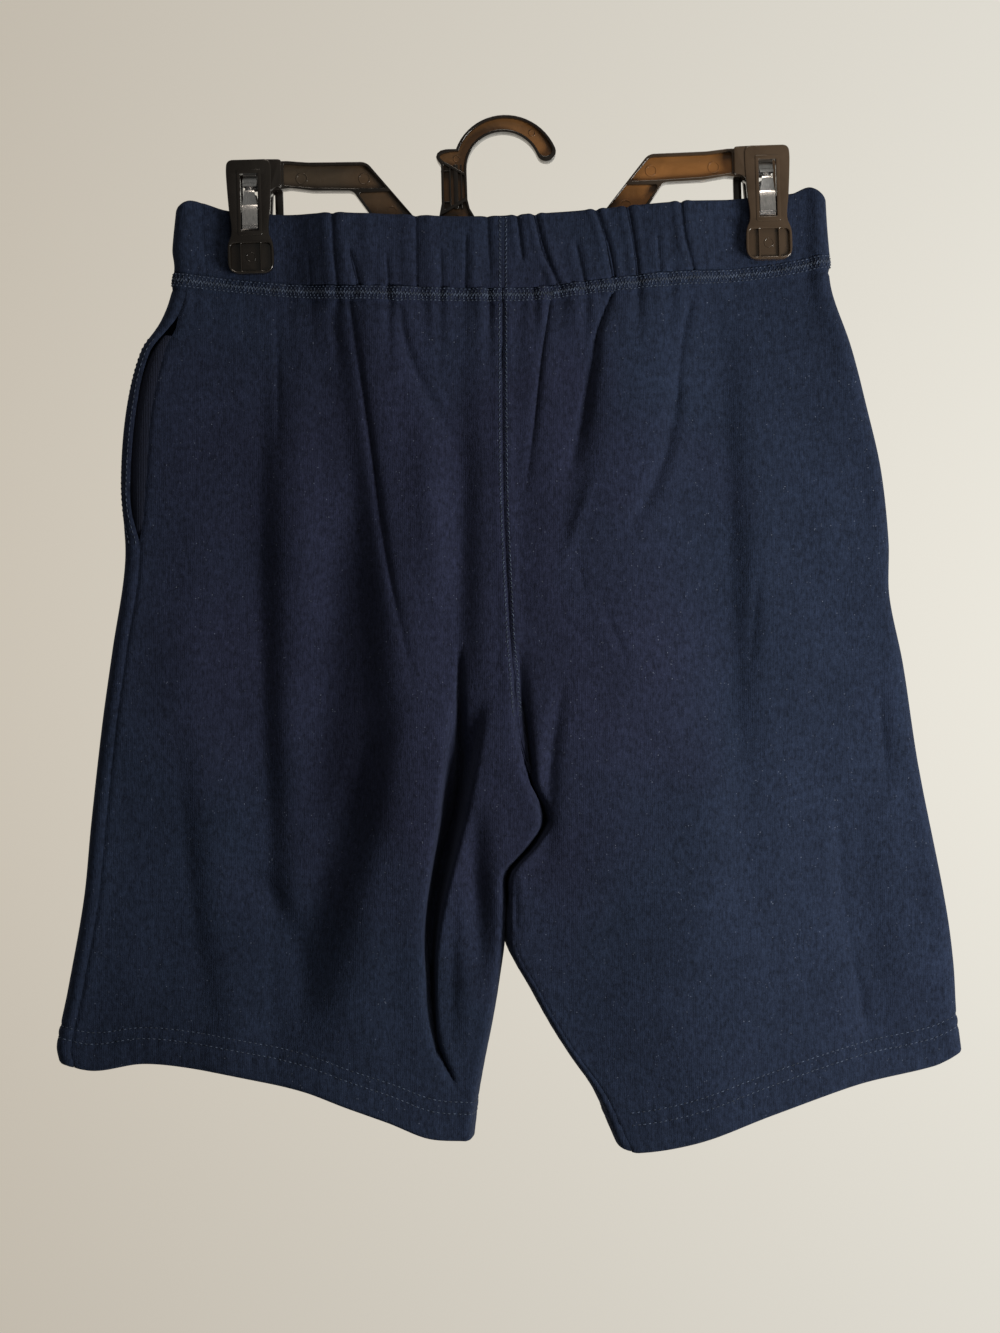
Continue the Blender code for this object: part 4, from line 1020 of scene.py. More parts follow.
def waist_stitches():
    """The flat cover seam below the casing: two rows of dots with thread laced between them."""
    stitch = bpy.context.scene.shorts_stitches
    band = stitch.band_height / MM
    pitch = stitch.pitch / MM * 0.8
    runs = []
    for side in SIDES:
        for layer in LAYERS:
            top = level_line(side, layer, 0.7)
            low = level_line(side, layer, band - 0.5)
            above, upper, lower, below = (level_line(side, layer, share * band)
                                          for share in LACE_ROWS)
            runs.append(straight_row(top, pitch, DOT_SHARE))
            runs.append(straight_row(low, pitch, DOT_SHARE))
            runs.append(zigzag_row(lower, upper, stitch.pitch / MM * 0.62))
            runs.append(bar_row(upper, above, pitch))
            runs.append(bar_row(lower, below, pitch))
    return thread_piece("waist_stitches", runs, seam_thread(), "waistband")


def centre_stitches():
    """Two barred rows down the back seam and the front one, and up the casing on both layers."""
    stitch = bpy.context.scene.shorts_stitches
    pitch = stitch.pitch / MM * 0.85
    apart = stitch.centre_rows / MM / 2
    runs = []
    for layer, low in (("back", BACK_SEAM_END), ("front", FRONT_SEAM_END)):
        rows = [centre_line(side, layer, apart, low) for side in SIDES]
        rows += [casing_centre_line(layer, beside) for beside in (-apart, apart)]
        runs += [straight_row(row, pitch, DOT_SHARE) for row in rows]
        ends = [centre_line(side, layer, 0.5 * apart, low) for side in SIDES]
        ends += [casing_centre_line(layer, beside / 2) for beside in (-apart, apart)]
        runs += [bar_row(row, end, pitch) for row, end in zip(rows, ends)]
    return thread_piece("centre_stitches", runs, seam_thread(), "back_left_panel")


def hem_stitches():
    """Twin rows round both hems."""
    stitch = bpy.context.scene.shorts_stitches
    runs = []
    for side in SIDES:
        for layer in LAYERS:
            for row in (stitch.hem_depth, stitch.hem_depth - stitch.hem_row_gap):
                line = level_line(side, layer, row / MM, from_hem=True, inset=0.4)
                runs.append(straight_row(line, stitch.pitch / MM, ROW_SHARE))
    return thread_piece("hem_stitches", runs, seam_thread(), "back_right_panel")


def pocket_stitches():
    """Two rows beside the mouth of each side pocket."""
    stitch = bpy.context.scene.shorts_stitches
    runs = []
    for side in SIDES:
        for beside in (MOUTH_ROW_INSET, MOUTH_ROW_INSET + stitch.hem_row_gap / MM * 0.55):
            def v_at(share):
                return mix(MOUTH_TOP_ROW, MOUTH_LOW_ROW, share)

            def a_at(share, beside=beside):
                return panel_ends(side, "front", v_at(share))[0] + beside
            line = panel_line(side, "front", a_at, v_at)
            runs.append(straight_row(line, stitch.pitch / MM, ROW_SHARE))
    return thread_piece("pocket_stitches", runs, seam_thread(), "front_left_panel")


# ------------------------------ outlines of moulded work
def rounded(corners, steps=6):
    """An outline from corners (x, z, radius), each turned on its own arc."""
    outline = []
    for index, (x, z, radius) in enumerate(corners):
        if radius == 0:
            outline.append((x, z))
            continue
        here = Vector((x, z))
        before = (Vector(corners[index - 1][:2]) - here).normalized()
        after = (Vector(corners[(index + 1) % len(corners)][:2]) - here).normalized()
        half = before.angle(after) / 2
        reach = radius / math.tan(half)
        centre = here + (before + after).normalized() * radius / math.sin(half)
        first, last = here + before * reach - centre, here + after * reach - centre
        sweep = first.angle_signed(last)
        for step in range(steps + 1):
            spoke = Vector(first)
            spoke.rotate(Matrix.Rotation(-sweep * step / steps, 2))
            outline.append(tuple(centre + spoke))
    return outline


def mirrored(points, way):
    """Points (x, z, ...) from the hanger's middle, on the right (1) or the left (-1) arm."""
    return [(HANGER_MIDDLE_X + way * point[0], *point[1:]) for point in points]


def circle(x, z, radius, steps=20):
    """A round outline."""
    angles = [2 * math.pi * step / steps for step in range(steps)]
    return [(x + radius * math.cos(angle), z + radius * math.sin(angle)) for angle in angles]


def box_outline(x_low, x_high, z_low, z_high, radius=0.0):
    """A box with rounded corners."""
    corners = [(x_low, z_low, radius), (x_high, z_low, radius), (x_high, z_high, radius),
               (x_low, z_high, radius)]
    return rounded(corners, 4)


def arc(centre_z, start_radius, end_radius, start, end, steps=22):
    """Points round the hook's middle, its angles in degrees."""
    points = []
    for step in range(steps + 1):
        angle = math.radians(mix(start, end, step / steps))
        radius = mix(start_radius, end_radius, step / steps)
        points.append((radius * math.cos(angle), centre_z + radius * math.sin(angle)))
    return points


def turned(outline, clockwise):
    """The outline in the direction asked for."""
    area = sum(x0 * z1 - x1 * z0 for (x0, z0), (x1, z1) in zip(outline, outline[1:] + outline[:1]))
    return outline[::-1] if (area < 0) != clockwise else outline


def plate(outline, y_low, y_high, edge=0.25, holes=(), material=None):
    """A moulded plate between two depths, with holes and softly rounded edges."""
    drawing = bpy.data.curves.new("plate", "CURVE")
    drawing.dimensions = "2D"
    drawing.fill_mode = "BOTH"
    drawing.extrude = ((y_high - y_low) / 2 - edge) * MM
    drawing.bevel_depth = edge * MM
    drawing.bevel_resolution = 2
    drawing.offset = -edge * MM
    for loop, clockwise in [(outline, True)] + [(hole, False) for hole in holes]:
        loop = turned(list(loop), clockwise)
        spline = drawing.splines.new("POLY")
        spline.points.add(len(loop) - 1)
        for spot, (x, z) in zip(spline.points, loop):
            spot.co = (x * MM, z * MM, 0.0, 1.0)
        spline.use_cyclic_u = True
    drawn = bpy.data.objects.new("plate", drawing)
    bpy.context.scene.collection.objects.link(drawn)
    shown = drawn.evaluated_get(bpy.context.evaluated_depsgraph_get())
    mesh = bpy.data.meshes.new_from_object(shown)
    bpy.data.objects.remove(drawn)
    bpy.data.curves.remove(drawing)
    upright = Matrix.Rotation(QUARTER, 4, "X")
    mesh.transform(Matrix.Translation((0, (y_low + y_high) / 2 * MM, 0)) @ upright)
    edit = bmesh.new()
    edit.from_mesh(mesh)
    bmesh.ops.remove_doubles(edit, verts=edit.verts, dist=0.000001)
    bmesh.ops.recalc_face_normals(edit, faces=edit.faces)
    edit.to_mesh(mesh)
    edit.free()
    mesh.materials.clear()
    mesh.materials.append(material or moulded_plastic())
    return mesh


def moulded_piece(name, meshes, *nodes):
    """Several moulded plates as one piece, leaned with the hanger."""
    whole = merged(name, meshes)
    whole.transform(Matrix.Rotation(-HANGER_TILT, 4, "Y"))
    whole.shade_smooth()
    whole.set_sharp_from_angle(angle=math.radians(38))
    return add_piece(name, whole, None, *nodes)


# ------------------------------ the hanger
RIM_WALL = 1.5
WEB_HALF_DEPTH = 1.1       # of the web between the channels
PIN_RING = 0.3
# corners of the right arm, its two channels and the block that joins it to its clip:
# x from the hanger's middle, height z, radius
ARM = [(37.0, -62.2, 0.0), (76.4, -14.2, 7.0), (108.0, -13.7, 40.0), (119.0, -12.6, 14.0),
       (131.5, -12.4, 0.0), (131.5, -33.0, 0.0), (127.0, -28.2, 0.0), (118.0, -27.2, 9.0),
       (106.0, -29.0, 22.0), (84.2, -29.6, 4.5), (57.0, -69.0, 0.0)]
ARM_CHANNEL = [(66.0, -28.6, 0.6), (77.0, -15.8, 5.5), (108.0, -15.3, 40.0), (121.4, -13.9, 1.2),
               (121.4, -25.6, 1.2), (106.0, -27.4, 22.0), (84.0, -28.3, 6.0)]
FOOT_CHANNEL = [(64.2, -30.5, 0.6), (81.6, -30.7, 1.2), (57.0, -66.5, 0.6), (40.0, -59.4, 0.6)]
BLOCK = [(122.2, -12.4, 1.6), (133.0, -12.1, 0.0), (133.0, -41.0, 0.0), (129.6, -41.0, 0.0),
         (129.0, -28.0, 5.5), (122.2, -27.0, 1.0)]
BLOCK_DEPTHS = (-8.9, 4.3)
ARM_PINS = [(77.8, -22.8, 3.2), (111.8, -21.8, 3.2), (63.6, -41.2, 3.2)]
# the shank's left side, the knob at the hook's back and the shank's right side: x, height z
SHANK_LEFT = [(-38.5, -58.0), (-35.4, -45.5), (-33.8, -38.0), (-33.6, -17.0)]
KNOB = [(-35.4, -14.4), (-36.1, -12.6), (-35.4, -10.6), (-33.6, -9.2), (-30.6, -8.5)]
SHANK_RIGHT = [(-HOOK_INNER_RADIUS, -22.0), (-19.7, -36.0), (-18.6, -41.0), (-15.5, -46.5),
               (-6.0, -58.0)]
# the gusset at the knob, and the channels down the shank and at its foot
GUSSET_CHANNEL = [(-28.2, -9.8), (-32.2, -10.6), (-34.0, -11.6), (-34.0, -13.2), (-32.8, -14.6),
                  (-21.4, -21.4)]
SHANK_CHANNEL = [(-32.3, -16.6, 0.4), (-21.2, -23.2, 0.4), (-21.0, -35.0, 0.4), (-32.3, -41.2, 0.4)]
FOOT_GUSSET = [(-34.4, -44.4, 0.6), (-20.8, -37.0, 0.6), (-19.2, -43.0, 3.0), (-9.0, -57.0, 0.4),
               (-36.4, -57.0, 0.4)]
SHANK_RIBS = [(-29.4, -28.4), (-26.9, -24.6), (-23.2, -22.4)]
SHANK_BARS = (-20.3, -37.1)
SHANK_PINS = [(-24.9, -13.4, 2.0), (16.4, -0.4, 2.0), (-26.2, -45.2, 1.9)]
# a clip: height from its top, half width
CLIP_PROFILE = [
    (0.0, 8.8), (-0.35, 10.2), (-1.2, 11.3), (-2.8, 12.0), (-8.0, 12.2), (-26.0, 11.2),
    (-36.0, 10.1), (-40.6, 10.3), (-44.0, 11.7), (-47.0, 12.3), (-55.5, 12.4), (-58.4, 11.8),
    (-60.2, 10.4), (-61.2, 8.4), (-61.5, 6.4),
]
PAD_CELLS = [(-10.9, -5.8), (-4.9, 4.9), (5.8, 10.9)]
PAD_CELL_TOP = -45.0
PAD_CELL_LOW = -60.0
PAD_TOP = -43.0
GUIDE_HALF_WIDTH = 6.6     # of the raised rim round the window
GUIDE_TOP = -5.4
GUIDE_LOW = -41.0
PAD_RING_Z = -52.5
PAD_RING_RADII = (2.7, 2.2)
# a rear jaw's two lugs, which reach from the clip's middle to the arm: reach from and to, height z
# from and to, depth from and to
REAR_LUGS = [(12.8, 17.2, -42.0, -24.0, 4.4, 7.6), (8.0, 17.0, -29.0, -20.0, 4.6, 7.4)]
BAR_ENDS = (-56.0, 61.0)
BAR_CHANNEL_ENDS = (-36.0, 41.0)


def pin_marks(pins, y_floor):
    """Low rings left by the mould's pins on a channel's floor."""
    return [plate(circle(x, z, radius), y_floor - PIN_RING, y_floor + 0.6, 0.12,
                  [circle(x, z, radius - 0.55)], channel_plastic()) for x, z, radius in pins]


def hanger_arm(way):
    """One arm: its rim, the web between the channels and the block beside the clip."""
    outline = rounded(mirrored(ARM, way), 8)
    holes = [rounded(mirrored(cell, way), 6) for cell in (ARM_CHANNEL, FOOT_CHANNEL)]
    block = rounded(mirrored(BLOCK, way), 8)
    web = [(x, z, max(0.0, radius - 0.4)) for x, z, radius in mirrored(ARM, way)]
    half = HANGER_HALF_DEPTH
    meshes = [plate(outline, -half, half, 0.3, holes),
              plate(rounded(web, 6), -WEB_HALF_DEPTH, WEB_HALF_DEPTH, 0.1,
                    material=channel_plastic()),
              plate(block, *BLOCK_DEPTHS, 0.45)]
    return meshes + pin_marks(mirrored(ARM_PINS, way), -WEB_HALF_DEPTH)


def hook_channel():
    """The channel that follows the hook from its tip to the knob."""
    centre = -HOOK_INNER_RADIUS
    outer, inner = HOOK_OUTER_RADIUS - RIM_WALL, HOOK_INNER_RADIUS + RIM_WALL
    tip_middle, tip_half = (outer + inner) / 2, (outer - inner) / 2
    angle = math.radians(HOOK_TIP_ANGLE + 3.0)
    tip_x, tip_z = tip_middle * math.cos(angle), centre + tip_middle * math.sin(angle)
    tip = [(tip_x + tip_half * math.cos(angle + turn), tip_z + tip_half * math.sin(angle + turn))
           for turn in np.linspace(0.0, -math.pi, 9)[1:-1]]
    over = arc(centre, HOOK_BACK_RADIUS - RIM_WALL, outer, 157.0, HOOK_TIP_ANGLE + 3.0)
    under = arc(centre, inner, inner, HOOK_TIP_ANGLE + 3.0, 184.0)
    return over + tip + under + GUSSET_CHANNEL[::-1]


def hook_and_shank():
    """The hook, its knob, and the ribbed shank between two gussets."""
    centre = -HOOK_INNER_RADIUS
    over = arc(centre, HOOK_BACK_RADIUS, HOOK_OUTER_RADIUS, HOOK_START_ANGLE, HOOK_TIP_ANGLE)
    tip_radius = (HOOK_OUTER_RADIUS - HOOK_INNER_RADIUS) / 2
    reach, angle = HOOK_INNER_RADIUS + tip_radius, math.radians(HOOK_TIP_ANGLE)
    tip = [(reach * math.cos(angle) + tip_radius * math.cos(angle + turn),
            centre + reach * math.sin(angle) + tip_radius * math.sin(angle + turn))
           for turn in np.linspace(0.0, -math.pi, 11)[1:-1]]
    under = arc(centre, HOOK_INNER_RADIUS, HOOK_INNER_RADIUS, HOOK_TIP_ANGLE, 180.0)
    outline = SHANK_LEFT + KNOB + over + tip + under + SHANK_RIGHT
    holes = [hook_channel(), rounded(SHANK_CHANNEL, 4), rounded(FOOT_GUSSET, 4)]
    half, web = HANGER_HALF_DEPTH - 0.15, WEB_HALF_DEPTH - 0.1
    meshes = [plate(outline, -half, half, 0.3, holes),
              plate(outline, -web, web, 0.1, material=channel_plastic())]
    for low, high in SHANK_RIBS:
        meshes.append(plate(box_outline(low, high, -41.0, -17.0), 0.3 - half, half - 0.3, 0.2))
    for level in SHANK_BARS:
        bar = box_outline(-33.75, -28.6, level - 0.25, level + 0.25)
        meshes.append(plate(bar, 0.1 - half, half - 0.1, 0.1))
    return meshes + pin_marks(SHANK_PINS, -web)


def hanger_bar():
    """The bar between the arms, inside the waist."""
    outline = box_outline(*BAR_ENDS, BAR_LOW_Z, BAR_TOP_Z, 2.0)
    channel = box_outline(*BAR_CHANNEL_ENDS, BAR_LOW_Z + RIM_WALL, BAR_TOP_Z - RIM_WALL, 1.0)
    half, web = HANGER_HALF_DEPTH - 0.3, WEB_HALF_DEPTH - 0.2
    return [plate(outline, -half, half, 0.3, [channel]),
            plate(outline, -web, web, 0.1, material=channel_plastic())]


def jaw_outline(middle, shrink=0.0, below=1.0):
    """The outline of a jaw, or of its part below a height."""
    heights = np.concatenate([-np.linspace(0.0, 1.0, 7) ** 2 * 3.0, np.linspace(-5.0, -57.0, 27),
                              -61.5 + np.linspace(1.0, 0.0, 8) ** 2 * 4.0])
    heights = heights[heights <= below]
    halves = curve(CLIP_PROFILE, heights) - shrink
    right = [(middle + half, CLIP_TOP_Z + z) for z, half in zip(heights, halves)]
    return right + [(2 * middle - x, z) for x, z in right[::-1]]


def jaw(way, facing):
    """One jaw: back plate, raised face with its window and pad cells, and the grip pad."""
    middle = HANGER_MIDDLE_X + way * CLIP_SPREAD
    window = box_outline(middle - WINDOW_HALF_WIDTH, middle + WINDOW_HALF_WIDTH,
                         CLIP_TOP_Z + WINDOW_LOW_Z, CLIP_TOP_Z + WINDOW_TOP_Z, 0.6)
    cells = [rounded([(middle + low, CLIP_TOP_Z + PAD_CELL_LOW, 3.2 if low < -6 else 0.6),
                      (middle + high, CLIP_TOP_Z + PAD_CELL_LOW, 3.2 if high > 6 else 0.6),
                      (middle + high, CLIP_TOP_Z + PAD_CELL_TOP, 2.4 if high > 6 else 0.5),
                      (middle + low, CLIP_TOP_Z + PAD_CELL_TOP, 2.4 if low < -6 else 0.5)], 5)
             for low, high in PAD_CELLS]
    depths = (JAW_OUTER_Y, JAW_FLOOR_Y, JAW_INNER_Y, PAD_INNER_Y)
    face, floor, inner, pad = (facing * depth for depth in depths)
    guide = box_outline(middle - GUIDE_HALF_WIDTH, middle + GUIDE_HALF_WIDTH,
                        CLIP_TOP_Z + GUIDE_LOW, CLIP_TOP_Z + GUIDE_TOP, 1.0)
    low_pad = jaw_outline(middle, 0.5, PAD_TOP)
    meshes = [plate(jaw_outline(middle), *sorted((face, floor)), 0.5, [window] + cells),
              plate(jaw_outline(middle, 0.15), *sorted((floor + facing * 0.4, inner)), 0.15,
                    [window]),
              plate(guide, *sorted((face + facing * 0.35, floor)), 0.3, [window]),
              plate(low_pad, *sorted((inner + facing * 0.3, pad)), 0.3)]
    ring, hole = (circle(middle, CLIP_TOP_Z + PAD_RING_Z, radius) for radius in PAD_RING_RADII)
    ring_depths = sorted((floor + facing * 0.65, floor - facing * 0.5))
    meshes.append(plate(ring, *ring_depths, 0.15, [hole]))
    return meshes


def rear_lugs(way, middle):
    """The two lugs by which a rear jaw reaches for the arm."""
    lugs = []
    for near, far, z_low, z_high, y_low, y_high in REAR_LUGS:
        span = sorted((middle - way * far, middle - way * near))
        lugs.append(plate(box_outline(*span, z_low, z_high, 0.8), y_low, y_high, 0.3))
    return lugs


def hanger():
    """The moulded hanger, its four jaws and the two springs."""
    moulded_piece("hanger_frame", hanger_arm(-1) + hanger_arm(1) + hook_and_shank() + hanger_bar(),
                  "hanger_body")
    for way, label in ((-1, "left"), (1, "right")):
        moulded_piece(f"clip_{label}_front", jaw(way, -1), "hanger_body")
        middle = CLIP_SPREAD * way + HANGER_MIDDLE_X
        moulded_piece(f"clip_{label}_rear", jaw(way, 1) + rear_lugs(way, middle),
                      f"{label}_rear_jaw")
        clip_spring(label, middle)


# the spring's leg in a jaw's window: distance from the hanger's plane, height from the clip's top
SPRING_LEG = [
    (2.4, -6.4), (3.0, -8.0), (3.2, -11.6), (6.2, -12.5), (6.0, -13.6), (4.6, -14.6),
    (4.8, -16.0), (8.0, -16.5), (8.4, -17.3), (6.6, -24.0), (7.0, -25.0), (8.2, -34.6),
    (7.2, -35.3), (8.5, -35.9), (7.3, -36.5), (8.5, -37.1), (7.6, -38.0),
]
# height from the clip's top, half width of the strip
SPRING_WIDTHS = [
    (-6.0, 3.6), (-14.0, 3.6), (-14.6, 0.9), (-16.0, 0.9), (-16.5, 2.8), (-17.6, 2.9), (-24.2, 4.1),
    (-38.5, 4.2),
]
SPRING_STRIP = 0.7


def clip_spring(label, middle):
    """A steel strip bent over the cloth's edge, with a folded leg in each jaw's window."""
    leg = np.array(SPRING_LEG)
    steps = np.linspace(0.0, len(leg) - 1, 3 * (len(leg) - 1) + 1)
    depth, height = (np.interp(steps, np.arange(len(leg)), leg[:, part]) for part in (0, 1))
    depth = np.concatenate([-depth[::-1], depth])
    height = np.concatenate([height[::-1], height])
    widths = np.array(SPRING_WIDTHS)[::-1]
    half = np.interp(height, widths[:, 0], widths[:, 1])
    across = np.linspace(-1.0, 1.0, 7)
    rows = [[(middle + share * reach, y, CLIP_TOP_Z + z - 0.25 * share * share) for share in across]
            for y, z, reach in zip(depth, height, half)]
    mesh = mesh_of(f"{label}_steel", np.array(rows), quads(len(rows), len(across)))
    mesh = thickened(mesh, SPRING_STRIP)
    mesh.transform(Matrix.Rotation(-HANGER_TILT, 4, "Y"))
    mesh.set_sharp_from_angle(angle=math.radians(24))
    return add_piece(f"{label}_clip_spring", mesh, spring_steel(), f"{label}_spring")


# ------------------------------ finishes
def new_finish(name):
    """A material with its tree, its shader and a helper that adds a linked node."""
    material = bpy.data.materials.new(name)
    material.use_nodes = True
    tree = material.node_tree
    shader = tree.nodes["Principled BSDF"]

    def add(kind, inputs=(), **settings):
        made = tree.nodes.new(kind)
        for setting, value in settings.items():
            setattr(made, setting, value)
        for socket, value in dict(inputs).items():
            if isinstance(value, bpy.types.NodeSocket):
                tree.links.new(value, made.inputs[socket])
            else:
                made.inputs[socket].default_value = value
        return made

    def feed(socket, value):
        tree.links.new(value, shader.inputs[socket])
    return material, shader, add, feed


def shade(colour, amount):
    """A colour made lighter or darker."""
    return (*(part * amount for part in tuple(colour)[:3]), 1.0)


def fleece_knit():
    """Brushed fleece-back knit: heathered navy, fine wales, nap and a little lint."""
    found = bpy.data.materials.get("fleece_knit")
    if found:
        return found
    cloth = bpy.context.scene.shorts_cloth
    material, shader, add, feed = new_finish("fleece_knit")
    place = add("ShaderNodeTexCoord").outputs["Object"]
    heather = add("ShaderNodeTexNoise", {"Vector": place, "Scale": 1150.0, "Detail": 3.0,
                                         "Roughness": 0.7})
    pill = add("ShaderNodeTexNoise", {"Vector": place, "Scale": 330.0, "Detail": 3.0,
                                      "Roughness": 0.6})
    cloudy = add("ShaderNodeTexNoise", {"Vector": place, "Scale": 26.0, "Detail": 4.0,
                                        "Roughness": 0.6})
    down = add("ShaderNodeMapping", {"Vector": place, "Scale": (1.0, 1.0, 0.3)})
    streaks = add("ShaderNodeTexNoise", {"Vector": down.outputs[0], "Scale": 900.0, "Detail": 2.0})
    wales = add("ShaderNodeTexWave", {"Vector": place, "Scale": 300.0, "Distortion": 2.5,
                                      "Detail": 2.0, "Detail Scale": 1.4}, bands_direction="X")
    grain = add("ShaderNodeMath", {0: heather.outputs["Fac"], 1: pill.outputs["Fac"]},
                operation="ADD")
    grain = add("ShaderNodeMath", {0: grain.outputs[0], 1: streaks.outputs["Fac"]}, operation="ADD")
    tone = add("ShaderNodeMapRange", {"Value": grain.outputs[0], "From Min": 1.15,
                                      "From Max": 1.85})
    deep = shade(cloth.cloth_colour, 1.0 - cloth.heather)
    light = shade(cloth.cloth_colour, 1.0 + 1.5 * cloth.heather)
    # hue shift: violet towards the middle of the back, teal towards the sides, broken up by large
    # random blotches
    hue_blotches = add("ShaderNodeTexNoise", {"Vector": place, "Scale": 7.0, "Detail": 2.0,
                                      "Distortion": 0.4})
    seat = add("ShaderNodeMapping", {"Vector": place, "Location": (0.045, 0.0, 0.14),
                                     "Scale": (1.0, 0.0, 0.6)})
    seat = add("ShaderNodeVectorMath", {0: seat.outputs[0]}, operation="LENGTH")
    edge = add("ShaderNodeMath", {0: hue_blotches.outputs["Fac"], 1: 0.25, 2: seat.outputs["Value"]},
               operation="MULTIPLY_ADD")
    edge = add("ShaderNodeMapRange", {"Value": edge.outputs[0], "From Min": 0.19, "From Max": 0.28})
    cast = add("ShaderNodeMix", {0: edge.outputs[0], 6: (1.08, 0.97, 1.0, 1.0),
                                 7: (0.92, 1.03, 1.0, 1.0)}, data_type="RGBA")
    knit = add("ShaderNodeMix", {0: tone.outputs[0], 6: deep, 7: light}, data_type="RGBA")
    knit = add("ShaderNodeMix", {0: 1.0, 6: knit.outputs[2], 7: cast.outputs[2]}, data_type="RGBA",
               blend_type="MULTIPLY")
    worn = add("ShaderNodeMapRange", {"Value": cloudy.outputs["Fac"], "From Min": 0.3,
                                      "From Max": 0.7, "To Min": 0.90, "To Max": 1.10})
    knit = add("ShaderNodeVectorMath", {0: knit.outputs[2], "Scale": worn.outputs[0]},
               operation="SCALE")
    fleck = add("ShaderNodeTexVoronoi", {"Vector": place, "Scale": 520.0, "Randomness": 1.0})
    fleck = add("ShaderNodeMapRange", {"Value": fleck.outputs["Distance"], "From Min": 0.20,
                                       "From Max": 0.08})
    sparse = add("ShaderNodeTexNoise", {"Vector": place, "Scale": 260.0, "Detail": 1.0})
    sparse = add("ShaderNodeMapRange", {"Value": sparse.outputs["Fac"], "From Min": 0.58,
                                        "From Max": 0.70})
    lint = add("ShaderNodeMath", {0: fleck.outputs[0], 1: sparse.outputs[0]}, operation="MULTIPLY")
    lint = add("ShaderNodeMath", {0: lint.outputs[0], 1: cloth.lint}, operation="MULTIPLY")
    knit = add("ShaderNodeMix", {0: lint.outputs[0], 6: knit.outputs[0],
                                 7: tuple(cloth.lint_colour)}, data_type="RGBA")
    feed("Base Color", knit.outputs[2])
    rough = add("ShaderNodeMapRange", {"Value": pill.outputs["Fac"], "To Min": 0.88, "To Max": 1.0})
    feed("Roughness", rough.outputs[0])
    loops = add("ShaderNodeMath", {0: wales.outputs["Fac"], 1: 0.2}, operation="MULTIPLY")
    nap = add("ShaderNodeMath", {0: loops.outputs[0], 1: grain.outputs[0]}, operation="ADD")
    bump = add("ShaderNodeBump", {"Height": nap.outputs[0], "Strength": 0.55, "Distance": 0.0005})
    feed("Normal", bump.outputs[0])
    shader.inputs["Specular IOR Level"].default_value = 0.08
    shader.inputs["Sheen Weight"].default_value = cloth.nap_sheen
    shader.inputs["Sheen Roughness"].default_value = 0.55
    shader.inputs["Sheen Tint"].default_value = shade(cloth.sheen_colour, 1.0)
    return material


def bag_knit():
    """The pocket bags' thinner knit, a shade darker than the fleece."""
    found = bpy.data.materials.get("bag_knit")
    if found:
        return found
    cloth = bpy.context.scene.shorts_cloth
    material, shader, add, feed = new_finish("bag_knit")
    place = add("ShaderNodeTexCoord").outputs["Object"]
    fine = add("ShaderNodeTexNoise", {"Vector": place, "Scale": 900.0, "Detail": 3.0})
    wales = add("ShaderNodeTexWave", {"Vector": place, "Scale": 340.0, "Distortion": 1.5},
                bands_direction="X")
    tone = add("ShaderNodeMapRange", {"Value": fine.outputs["Fac"], "From Min": 0.35,
                                      "From Max": 0.65})
    knit = add("ShaderNodeMix", {0: tone.outputs[0], 6: shade(cloth.cloth_colour, 0.75),
                                 7: shade(cloth.cloth_colour, 1.15)}, data_type="RGBA")
    feed("Base Color", knit.outputs[2])
    ribs = add("ShaderNodeMath", {0: wales.outputs["Fac"], 1: fine.outputs["Fac"]}, operation="ADD")
    feed("Normal", add("ShaderNodeBump", {"Height": ribs.outputs[0], "Strength": 0.5,
                                          "Distance": 0.0003}).outputs[0])
    rough = add("ShaderNodeMapRange", {"Value": fine.outputs["Fac"], "To Min": 0.85,
                                       "To Max": 0.98})
    feed("Roughness", rough.outputs[0])
    shader.inputs["Specular IOR Level"].default_value = 0.2
    return material


def seam_thread():
    """Spun thread, a little lighter than the cloth, with its twist."""
    found = bpy.data.materials.get("seam_thread")
    if found:
        return found
    stitch = bpy.context.scene.shorts_stitches
    material, shader, add, feed = new_finish("seam_thread")
    place = add("ShaderNodeTexCoord").outputs["Object"]
    faded = add("ShaderNodeTexNoise", {"Vector": place, "Scale": 420.0, "Detail": 2.0})
    tone = add("ShaderNodeMapRange", {"Value": faded.outputs["Fac"], "From Min": 0.36,
                                      "From Max": 0.66})
    ply = add("ShaderNodeMix", {0: tone.outputs[0], 6: shade(stitch.thread_colour, 0.45),
                                7: shade(stitch.thread_colour, 1.5)}, data_type="RGBA")
    feed("Base Color", ply.outputs[2])
    twist = add("ShaderNodeTexWave", {"Vector": place, "Scale": 900.0, "Distortion": 1.0},
                bands_direction="DIAGONAL")
    feed("Normal", add("ShaderNodeBump", {"Height": twist.outputs["Fac"], "Strength": 0.5,
                                          "Distance": 0.0001}).outputs[0])
    rough = add("ShaderNodeMapRange", {"Value": faded.outputs["Fac"], "To Min": 0.6,
                                       "To Max": 0.85})
    feed("Roughness", rough.outputs[0])
    shader.inputs["Specular IOR Level"].default_value = 0.3
    return material


